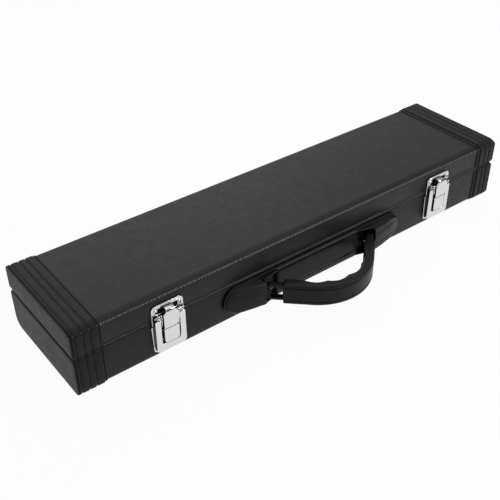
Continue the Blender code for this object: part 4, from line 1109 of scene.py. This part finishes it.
def lever(x):
    """The frame, a side wall along each stile, and a roll at the top of each."""
    pieces = [on_front(stamped(lever_outline(), [], SHEET, 0.48 * MM, 4), x, LEVER_FACE - SHEET / 2)]
    low = (-STILE_WALL, STILE_WALL - LEVER_FACE, LEVER_BOTTOM + 3 * MM)
    # The stiles' side walls are painted shade, for the dark gap beside the lever
    wall = paint_shade(softened(block(low, (STILE_WALL, -1.7 * MM, CUT_FOOT)), 0.25 * MM))
    right_roll = roll()
    for side in SIDES:
        pieces.append(moved(wall, None, (x + side * (LEVER_HALF - STILE_WALL), FRONT, 0)))
        mirror = Matrix.Diagonal((side, 1, 1, 1))
        pieces.append(moved(right_roll, mirror, (x, FRONT - LEVER_PIVOT[0], 0)))
    return joined(*pieces)


# %% [markdown]
# ## Tongues
#
# The tongue is one pressed strip: a plain foot, a step at mid height, and a tip that narrows and bends
# into the keeper's window. A strip could be bent with a Simple Deform modifier, but its width and its
# two faces change on the way, so it is lofted from rows across the strip.


# %% A strip from rows
def slanted(rows, edge):
    """Loft a strip from rows of (outer point, inner point, half width), its long edges rounded."""
    sections = []
    for (outer, outer_z), (inner, inner_z), half in rows:
        thick = hypot(outer - inner, outer_z - inner_z)
        section = []
        for a, b in rounded_box(-half, 0, half, thick, edge, steps=3):
            share = b / thick
            section.append((a, -(inner + (outer - inner) * share), inner_z + (outer_z - inner_z) * share))
        sections.append(section)
    return loft(sections)


# %% The tongue's rows
TONGUE_HALF = 6.1 * MM
TONGUE_FACE = 6.1 * MM
TONGUE_SHEET = 1.7 * MM
TONGUE_CORNER = 3.2 * MM
TONGUE_DROOP = 0.7 * MM
STEP = 0.55 * MM
# On the face, each row is (outer height, how far the face lies back, inner height, half width) in mm
FACE_ROWS = (
    (27.75, 0.55, 27.75, 6.1), (27.85, 0.9, 27.85, 6.1), (28.25, 0.9, 28.25, 6.1),
    (28.35, 0.55, 28.35, 6.1), (28.55, 0.2, 28.9, 6.1), (28.8, 0, 29.3, 6.1),
    (39.6, 0, 39.6, 6.1), (40.4, 0, 40.4, 5.6), (42.2, 0, 42.0, 4.5),
)
# On the bend, each row is (outer back, outer height, inner back, inner height, half width) in mm
BEND_ROWS = (
    (0.25, 43.2, 1.8, 42.4, 3.9), (1.0, 44.1, 2.2, 43.0, 3.55), (2.2, 44.55, 2.9, 43.4, 3.45),
    (4.2, 44.75, 4.3, 43.7, 3.4),
)


def tongue_rows():
    """The rounded foot, then the face, then the bend."""
    low = SLOT_FLOOR + GAP
    face = TONGUE_FACE - STEP
    rows = []
    for degrees in (8, 25, 45, 65, 90):
        fall = 1 - sin(radians(degrees))
        z = low + TONGUE_CORNER * (1 - cos(radians(degrees)))
        half = TONGUE_HALF - TONGUE_CORNER * fall
        rows.append(((face - TONGUE_DROOP * fall, z), (face - TONGUE_SHEET, z), half))
    for outer_z, back, inner_z, half in FACE_ROWS:
        inner = TONGUE_FACE - min(back * MM, STEP) - TONGUE_SHEET
        rows.append(((TONGUE_FACE - back * MM, outer_z * MM), (inner, inner_z * MM), half * MM))
    for back, outer_z, inner, inner_z, half in BEND_ROWS:
        inner = TONGUE_FACE - inner * MM
        rows.append(((TONGUE_FACE - back * MM, outer_z * MM), (inner, inner_z * MM), half * MM))
    return rows


# %% Make the levers and tongues
NOTCH = ((4.2 * MM, -8 * MM, 28.3 * MM), (6.5 * MM, 0, 29.5 * MM))
LOOP_RADIUS = 1.4 * MM


def in_shade(face):
    """The tongue's flanks, and the slope of its step, from the first face row to the fourth: faces that
    take painted shade.
    """
    on_step = FACE_ROWS[0][0] * MM < face.center.z < FACE_ROWS[3][0] * MM
    return on_step or abs(face.normal.x) > 0.9


def tongue(x):
    """The strip, with a notch at one end of its step, and the loop that holds its pin."""
    # The flanks and the step of the strip are painted shade
    strip = paint_shade(carved(slanted(tongue_rows(), 0.3 * MM), block(*NOTCH)), in_shade)
    out, height = TONGUE_PIVOT
    loop = rod(LOOP_RADIUS, 2 * (TONGUE_HALF - GAP), 0.3 * MM, (x, FRONT - out, height))
    return joined(moved(strip, None, (x, FRONT, 0)), loop)


# Chrome, and painted shade for the faces in shade
CHROMES = (CHROME, SHADE_PAINT)
for hand, x in latch_x.items():
    put(f"lever_plate_{hand}", lever(x), f"lever_{hand}", CHROMES, "chrome", f"latch_lever_{hand}")
    put(f"tongue_strip_{hand}", tongue(x), f"tongue_{hand}", CHROMES, "chrome", f"draw_tongue_{hand}")

# %% [markdown]
# ## Hinges and pins
#
# The photograph doesn't show the back, so its two small butt hinges are a guess. A leaf is stamped
# like the latches' plates, and its tabs run under the pin. The real tabs are rolled into knuckles. A
# curled sheet would need a bend, but a short tube round the pin looks the same and closes cleanly.

# %% Sizes of the hinges
HINGE_LENGTH = 30 * MM
THIRD = HINGE_LENGTH / 3
LEAF_FAR = 12.5 * MM
LEAF_CORNER = 1.5 * MM
KNUCKLE_RADIUS = 2.0 * MM
KNUCKLE_BORE = 1.0 * MM
HINGE_OUT = GAP + KNUCKLE_RADIUS
HINGE_SCREW = (9.5 * MM, 8.2 * MM)


# %% One leaf
def tube(outer, inner, length, edge=0.25 * MM, sides=24):
    """A short tube along z, its four rims rounded, as a closed ring."""
    half = length / 2
    profile = [(inner, half - edge), (inner + edge, half), (outer - edge, half), (outer, half - edge)]
    profile += [(r, -z) for r, z in reversed(profile)]
    return turned([*profile, profile[0]], sides)


def hinge_leaf(x, up, knuckles):
    """A leaf above or below the pin; knuckles lists which thirds of the pin it holds."""
    near = KNUCKLE_RADIUS + GAP
    half = HINGE_LENGTH / 2
    outline = rounded_box(-half, near, half, LEAF_FAR, 0.3 * MM, LEAF_CORNER, 4)
    holes = [circle((side * HINGE_SCREW[0], HINGE_SCREW[1]), 1.0 * MM, 16) for side in SIDES]
    sheets = [stamped(outline, holes, SHEET, SHEET_EDGE)]
    for place in knuckles:
        start, end = place * THIRD - THIRD / 2 + GAP, place * THIRD + THIRD / 2 - GAP
        tab = rounded_box(start, 0.6 * MM, end, near + MM, 0.2 * MM, steps=2)
        sheets.append(stamped(tab, [], SHEET, 0.1 * MM))
    flip = Matrix.Identity(4) if up > 0 else Matrix.Diagonal((1, 1, -1, 1))
    parts = [moved(moved(joined(*sheets), FACING_BACK), flip, (x, BACK + GAP + SHEET / 2, PARTING))]
    for place in knuckles:
        barrel = tube(KNUCKLE_RADIUS, KNUCKLE_BORE, THIRD - 2 * GAP)
        parts.append(moved(barrel, ALONG_X, (x + place * THIRD, BACK + HINGE_OUT, PARTING)))
    return joined(*parts)


# %% Make the hinges
for side, hand in HAND.items():
    x = middle_of("hinge_pin_" + hand).x
    base_leaf = hinge_leaf(x, -1, (-1, 1))
    lid_leaf = hinge_leaf(x, 1, (0,))
    put(f"base_hinge_{hand}", base_leaf, "base", (CHROME,), "chrome", f"base_hinge_leaf_{hand}")
    put(f"lid_hinge_{hand}", lid_leaf, "lid", (CHROME,), "chrome", f"lid_hinge_leaf_{hand}")


# %% Pins
def rod_for(node):
    """A rod with rounded ends in the place of a CAD pin."""
    low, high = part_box(node)
    return rod((high.z - low.z) / 2, high.x - low.x, 0.25 * MM, (low + high) / 2)


base_pins = [kind + hand for kind in ("lever_pin_", "hinge_pin_", "handle_pin_") for hand in HAND.values()]
put("base_pins", joined(*[rod_for(node) for node in base_pins]), "base", (STEEL,), "chrome", *base_pins)
for hand in HAND.values():
    node = "tongue_pin_" + hand
    put(f"tongue_rod_{hand}", rod_for(node), "lever_" + hand, (STEEL,), "chrome", node)

# %% [markdown]
# ## Screws
#
# All screws have a domed head with a cross in it. Each was driven to a stop of its own, so no two
# crosses point alike. Copies could be placed and turned one by one, but Geometry Nodes put one screw
# on a cloud of points and turn every copy by a random angle, and a fixed seed keeps it the same.

# %% One screw
DOME = 0.45
DOME_STEPS = 6
CROSS_ARM = 0.66
CROSS_HALF = 0.19
CROSS_DEPTH = 0.7


def marked(head, head_radius, head_height):
    """Mark the faces of the cross, which lie well below the dome, for painted shade."""
    recess = head.attributes.new("recess", "BOOLEAN", "FACE")
    for face in head.polygons:
        away = hypot(face.center.x, face.center.y) / head_radius
        dome = head_height * (1 - DOME + DOME * sqrt(max(0, 1 - away ** 2)))
        recess.data[face.index].value = away < CROSS_ARM and 0 < face.center.z < dome - 0.08 * head_height
    return head


def screw(head_radius, head_height, radius, length):
    """Domed head with a cross in it, and a shank with a turned point; the head stands on z = 0."""
    dome = [(0, head_height)]
    for i in range(1, DOME_STEPS + 1):
        a = pi / 2 * i / DOME_STEPS
        dome.append((head_radius * sin(a), head_height * (1 - DOME + DOME * cos(a))))
    dome += [(head_radius, 0), (radius, 0), (radius, -length + radius), (0, -length)]
    arm, slot = CROSS_ARM * head_radius, CROSS_HALF * head_radius
    low, high = head_height - CROSS_DEPTH * head_height, 2 * head_height
    bars = [block((-a, -b, low), (a, b, high)) for a, b in ((arm, slot), (slot, arm))]
    return marked(carved(turned(dome, 20), *bars), head_radius, head_height)


# %% The screw tree
screw_tree, sizes = new_tree(
    "driven_screws", Screw="Object", Tilt="Float", Seed="Int", Finish="Material", Recess="Material"
)
model = add_node(screw_tree, "GeometryNodeObjectInfo", Object=sizes["Screw"]).outputs["Geometry"]
tilt = add_node(screw_tree, "ShaderNodeCombineXYZ", X=sizes["Tilt"]).outputs[0]
copies = geo(screw_tree, "InstanceOnPoints", Points=sizes["Geometry"], Instance=model, Rotation=tilt)
chance = add_node(screw_tree, "FunctionNodeRandomValue", {"data_type": "FLOAT"}, Seed=sizes["Seed"])
[socket for socket in chance.inputs if socket.name == "Max" and socket.enabled][0].default_value = pi
angle = [socket for socket in chance.outputs if socket.enabled][0]
spin = add_node(screw_tree, "ShaderNodeCombineXYZ", Z=angle).outputs[0]
spun = geo(screw_tree, "RotateInstances", Instances=copies, Rotation=spin, Local_Space=True)
end_tree(screw_tree, spun, sizes["Finish"], sizes["Recess"])


# %% Drive the screws
def driven(nodes, shape, back, seed):
    """Screws with their heads outermost on the front, or on the back, in the places of CAD ones."""
    places = []
    for node in nodes:
        low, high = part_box(node)
        middle = (low + high) / 2
        places.append((middle.x, high.y - shape[1] if back else low.y + shape[1], middle.z))
    points = bpy.data.meshes.new("places")
    points.from_pydata(places, [], [])
    helper = hold(screw(*shape), "screw")
    values = {"Screw": helper, "Tilt": -pi / 2 if back else pi / 2, "Seed": seed}
    # The crosses in the heads are painted shade
    mesh = grown(points, screw_tree, {**values, "Finish": CHROME, "Recess": SHADE_PAINT})
    bpy.data.objects.remove(helper)
    return mesh


# Each screw is (head radius, head height, shank radius, shank length)
SMALL_SCREW = (1.8 * MM, 0.7 * MM, 0.7 * MM, 3.4 * MM)
HANDLE_SCREW = (3.2 * MM, 1.0 * MM, 1.5 * MM, 9.3 * MM)
small = ("strike", "base_hinge", "keeper", "lid_hinge")
nodes = {kind: [f"{kind}_screw_{i}" for i in (1, 2, 3, 4)] for kind in small}
nodes["handle"] = ["handle_screw_1", "handle_screw_2"]
base_set = joined(
    driven(nodes["strike"], SMALL_SCREW, False, 3),
    driven(nodes["base_hinge"], SMALL_SCREW, True, 5),
    driven(nodes["handle"], HANDLE_SCREW, True, 8),
)
base_nodes = nodes["strike"] + nodes["base_hinge"] + nodes["handle"]
put("base_screws", base_set, "base", (CHROME, SHADE_PAINT), "chrome", *base_nodes)
lid_set = joined(
    driven(nodes["keeper"], SMALL_SCREW, False, 2), driven(nodes["lid_hinge"], SMALL_SCREW, True, 7)
)
put("lid_screws", lid_set, "lid", (CHROME, SHADE_PAINT), "chrome", *nodes["keeper"], *nodes["lid_hinge"])

# %% [markdown]
# ## The handle's mount
#
# A moulded plate carries a block with a sunk panel in its middle and a boss at each end. Between them
# the plate is open for the bail's arms, with a wall along each edge that climbs to the boss. Plate and
# block are a stamped sheet and a carved box. A boss is round at its far end and falls away towards
# it, with two ridges and two fine grooves along its top. A carved block would lose the ridges where
# it turns, so it is lofted from sections that shrink together.

# %% Sizes of the mount
PLATE_HALF = 90 * MM
PLATE_HALF_WIDTH = 12.8 * MM
PLATE_THICKNESS = 2.2 * MM
PLATE_FACE = GAP + PLATE_THICKNESS
RECESS_HALF_WIDTH = 10.2 * MM
RECESS_FLOOR = 0.6 * MM
BLOCK_HALF = 41.5 * MM
BLOCK_HALF_WIDTH = 12.5 * MM
BLOCK_FACE = PLATE_FACE + 1.6 * MM
PANEL_HALF = 39 * MM
PANEL_HALF_WIDTH = 7.3 * MM
PANEL_DEPTH = 0.7 * MM
WALL_CENTRE = 11.4 * MM
WALL_HALF = 0.7 * MM
WALL_OUT = 8.0 * MM
WALL_SUNK = 0.3 * MM
BOSS_START = 56.0 * MM
BOSS_LENGTH = 32.4 * MM
BOSS_HALF = 12.3 * MM
BOSS_ROOT = 0.6 * MM
BOSS_EDGE = 0.6 * MM
BOSS_RIDGE = 9.8 * MM
BOSS_RISE = 7.5 * MM
BOSS_CROWN = 0.5 * MM
BOSS_LINE = 5.0 * MM
LINE_BEND = 0.25 * MM
LINE_DEPTH = 0.35
HANDLE_Z = middle_of("handle_plate").z
PIVOT_OUT = FRONT - middle_of("handle_pin_left").y
print("bail's pivot", round(PIVOT_OUT / MM, 1), "mm out,", round(HANDLE_Z / MM, 1), "mm up")


# %% Bosses
def boss_section(x, half):
    """Section across a boss as (height, out): leaning sides, two ridges and a crowned top with grooves."""
    fall = 1 - (x - BOSS_START) / BOSS_LENGTH
    top = PLATE_FACE + BOSS_EDGE + (BOSS_RISE - BOSS_EDGE) * fall * (1.5 - 0.5 * fall)
    share = half / BOSS_HALF
    ridge = BOSS_RIDGE * share
    drop = min(0.8 * MM, (top - PLATE_FACE) / 3)
    profile = [(half, BOSS_ROOT), (half - 0.1 * (half - ridge), PLATE_FACE)]
    profile += [(ridge + 0.5 * MM * share, top - drop), (ridge - 0.2 * MM * share, top)]
    line = BOSS_LINE * share
    bend = LINE_BEND * share
    groove = [(line + 2 * bend, 0), (line + bend, LINE_DEPTH)]
    groove += [(line - bend, LINE_DEPTH), (line - 2 * bend, 0)]
    for height, deep in groove + [(line / 2, 0), (0, 0)]:
        profile.append((height, top + BOSS_CROWN * share * (1 - height / ridge) - deep * MM * share))
    return profile + [(-height, out) for height, out in reversed(profile[:-1])]


def boss(side):
    """Sections from the rounded start to the round far end."""
    bend = BOSS_START + BOSS_LENGTH - BOSS_HALF
    start = ((0, 1), (0.3, 0.3), (1, 0))
    stations = [(BOSS_START + a * BOSS_EDGE, BOSS_HALF - b * BOSS_EDGE) for a, b in start]
    stations.append(((BOSS_START + bend) / 2, BOSS_HALF))
    for degrees in range(0, 86, 5):
        a = radians(degrees)
        stations.append((bend + BOSS_HALF * sin(a), BOSS_HALF * cos(a)))
    sections = []
    for x, half in stations:
        profile = boss_section(x, half)
        sections.append([(side * x, FRONT - out, HANDLE_Z + height) for height, out in profile])
    return loft(sections)


# %% Plate and block
def opening(low, high):
    return rounded_box(low, -RECESS_HALF_WIDTH, high, RECESS_HALF_WIDTH, 0.8 * MM, steps=3)


def plate():
    """The sheet with its two openings, and a thin floor behind them."""
    corner = PLATE_HALF_WIDTH - 0.1 * MM
    outline = rounded_box(-PLATE_HALF, -PLATE_HALF_WIDTH, PLATE_HALF, PLATE_HALF_WIDTH, corner, steps=16)
    openings = [opening(-BOSS_START, -BLOCK_HALF), opening(BLOCK_HALF, BOSS_START)]
    rim = on_front(stamped(outline, openings, PLATE_THICKNESS, 0.5 * MM), 0, GAP + PLATE_THICKNESS / 2)
    sunk = stamped(opening(-BOSS_START, BOSS_START), [], RECESS_FLOOR, 0.1 * MM)
    return joined(rim, on_front(sunk, 0, GAP + RECESS_FLOOR / 2))


def middle_block():
    """The block with its sunk panel, both with slanted edges."""
    low = (-BLOCK_HALF, -BLOCK_FACE, -BLOCK_HALF_WIDTH)
    body = softened(block(low, (BLOCK_HALF, MM - PLATE_FACE, BLOCK_HALF_WIDTH)), 0.8 * MM, 1)
    low = (-PANEL_HALF, -BLOCK_FACE - MM, -PANEL_HALF_WIDTH)
    panel = block(low, (PANEL_HALF, PANEL_DEPTH - BLOCK_FACE, PANEL_HALF_WIDTH))
    return moved(softened(carved(body, panel), 0.35 * MM, 1), None, (0, FRONT, 0))


# %% Walls beside the arms
def side_wall(side, edge):
    """A low wall along one edge of the plate, rising from the block's face to the boss."""
    start, end = BLOCK_HALF - MM, BOSS_START + MM
    low = BLOCK_FACE - WALL_SUNK
    sections = []
    for share in (0, 0.25, 0.5, 0.75, 1):
        x = side * (start + (end - start) * share)
        out = low + (WALL_OUT - low) * share ** 0.85
        points = rounded_box(-WALL_HALF, BOSS_ROOT, WALL_HALF, out, 0.1 * MM, 0.5 * MM, 4)
        sections.append([(x, -b, edge * WALL_CENTRE + a) for a, b in points])
    return moved(loft(sections), None, (0, FRONT, 0))


# %% Make the mount
walls = joined(*[side_wall(side, edge) for side in SIDES for edge in SIDES])
parts = [moved(mesh, None, (0, 0, HANDLE_Z)) for mesh in (plate(), middle_block(), walls)]
mount = joined(*parts, boss(-1), boss(1))
put("handle_mount", mount, "base", (BLACK_PLASTIC,), "handle_plastic", "handle_plate")

# %% [markdown]
# ## The bail
#
# The bail turns on pins in the bosses: a strap with an eye and a window at each end, covered by a grip
# with finger hollows. It runs straight, round a wide arc and straight again. A Curve modifier could
# bend a straight grip, but it would squeeze the hollows on the inner side. So a distance along the
# bail is turned into a place and a direction, and sections are set there.

# %% The line of the bail
ARC_RADIUS = 40.1 * MM
ARM_ANGLE = radians(43.5)
BAIL_REACH = 35.5 * MM
ARC_HALF = ARC_RADIUS * ARM_ANGLE


def bail_place(distance):
    """(x, out) on the strap's middle line and the outward direction there."""
    turn = max(-ARM_ANGLE, min(ARM_ANGLE, distance / ARC_RADIUS))
    rest = distance - turn * ARC_RADIUS
    x = ARC_RADIUS * sin(turn) + rest * cos(turn)
    out = BAIL_REACH - ARC_RADIUS + ARC_RADIUS * cos(turn) - rest * sin(turn)
    return Vector((x, out)), Vector((sin(turn), cos(turn)))


def on_bail(distance, offset, height):
    place, direction = bail_place(distance)
    x, out = place + direction * offset
    return (x, FRONT - PIVOT_OUT - out, HANDLE_Z + height)


# %% Section of the grip
GRIP_OUTER = 5.1 * MM
GRIP_INNER = 3.4 * MM
GRIP_HALF = 8.7 * MM
OUTER_EDGE = 1.0 * MM
INNER_EDGE = 0.7 * MM
# Two grooves run along the outer face, each (depth, height) in mm, and a seam along each side
GROOVE = ((0, 5.4), (-0.5, 5.6), (-0.5, 6.0), (0, 6.2))
SEAM_DEPTH = 0.3 * MM


def grip_profile(inner, shrink=0.0):
    """Section of the grip as (offset, height); inner is how far its inner side is drawn out."""
    outer = GRIP_OUTER - shrink
    low = -GRIP_INNER + inner + shrink
    half = GRIP_HALF - shrink
    turns = (0, pi / 6, pi / 3, pi / 2)
    upper = [(outer + deep * MM, high * MM) for deep, high in GROOVE]
    edge = OUTER_EDGE
    upper += [(outer - edge + edge * cos(a), half - edge + edge * sin(a)) for a in turns]
    seam = ((1.3, 0), (1.1, SEAM_DEPTH), (0.8, SEAM_DEPTH), (0.6, 0))
    upper += [(offset * MM, half - deep) for offset, deep in seam]
    edge = INNER_EDGE
    upper += [(low + edge - edge * sin(a), half - edge + edge * cos(a)) for a in turns]
    upper.append((low, 0.3 * half))
    return upper + [(offset, -height) for offset, height in reversed(upper)]


# %% The grip
GRIP_END = ARC_HALF + 22.3 * MM
GRIP_STEP = 1.0 * MM
HOLLOW_PITCH = 18 * MM
HOLLOW_DEPTH = 1.9 * MM
HOLLOWS = 4


def hollow(distance):
    """How far the finger hollows draw the inner side out at a distance along the bail."""
    turn = min(ARM_ANGLE, abs(distance) / ARC_RADIUS)
    along = turn * (ARC_RADIUS - GRIP_INNER) + abs(distance) - turn * ARC_RADIUS
    if along > HOLLOWS * HOLLOW_PITCH / 2:
        return 0
    return HOLLOW_DEPTH * abs(sin(pi * along / HOLLOW_PITCH))


def grip():
    """Sections a millimetre apart, smaller at the two ends."""
    steps = int(2 * GRIP_END / GRIP_STEP)
    inside = GRIP_END - 0.8 * MM
    stations = [(-GRIP_END, 0.7 * MM), (-GRIP_END + 0.2 * MM, 0.2 * MM)]
    stations += [(-inside + 2 * inside * i / steps, 0.0) for i in range(steps + 1)]
    stations += [(GRIP_END - 0.2 * MM, 0.2 * MM), (GRIP_END, 0.7 * MM)]
    sections = []
    for distance, shrink in stations:
        profile = grip_profile(hollow(distance), shrink)
        sections.append([on_bail(distance, offset, height) for offset, height in profile])
    return loft(sections)


put("grip", grip(), "handle", (BLACK_PLASTIC,), "handle_plastic", "handle_grip")

# %% [markdown]
# Where the strap comes out of the grip it shows its window and its eye. Each arm is stamped flat, and
# then its points are laid along the bail, so that window and edges follow it.

# %% The strap's arms and eyes
STRAP_HALF = 2.6 * MM
STRAP_HALF_WIDTH = 6.9 * MM
STRAP_SHIFT = 0.7 * MM
STRAP_REACH = 55.7 * MM
STRAP_CORNER = 5.0 * MM
PAST_PIVOT = 3.4 * MM
EYE_RADIUS = 3.6 * MM
EYE_BORE = 1.5 * MM
EYE_LENGTH = 5.0 * MM
EYE_X = 51.83 * MM
WINDOW_START = GRIP_END + 0.5 * MM
WINDOW_LENGTH = 9.0 * MM
WINDOW_HALF_WIDTH = 4.7 * MM


def strap_arm(side):
    """The arm in its own plane, with its window, then laid along the bail to the eye."""
    end = ARC_HALF + (EYE_X - ARC_RADIUS * sin(ARM_ANGLE)) / cos(ARM_ANGLE) + PAST_PIVOT
    far = WINDOW_START + WINDOW_LENGTH
    hole = rounded_box(WINDOW_START, -WINDOW_HALF_WIDTH, far, WINDOW_HALF_WIDTH, 0.7 * MM, steps=4)
    outline = rounded_box(GRIP_END - 6 * MM, -STRAP_HALF_WIDTH, end, STRAP_HALF_WIDTH, STRAP_CORNER)
    arm = stamped(outline, [hole], 2 * STRAP_HALF, 0.6 * MM)
    for vertex in arm.vertices:
        along, height, offset = vertex.co
        x, y, z = on_bail(side * along, offset + STRAP_SHIFT, height)
        vertex.co = (max(-STRAP_REACH, min(STRAP_REACH, x)), y, z)
    if side < 0:
        arm.flip_normals()
    return arm


def eye(side):
    ring = tube(EYE_RADIUS, EYE_BORE, EYE_LENGTH, 0.5 * MM, 32)
    return moved(ring, ALONG_X, (side * (STRAP_REACH - EYE_LENGTH / 2), FRONT - PIVOT_OUT, HANDLE_Z))


strap = joined(*[make(side) for make in (strap_arm, eye) for side in SIDES])
put("strap_ends", strap, "handle", (BLACK_PLASTIC,), "handle_plastic", "handle_core")

# %% [markdown]
# ## What still shows
#
# Every CAD node has a piece in its place, and the CAD nodes that still show are printed.

# %% Print the CAD nodes that still show
showing = [name for name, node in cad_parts.items() if not node.hide_render]
print("CAD nodes that still show:", showing)
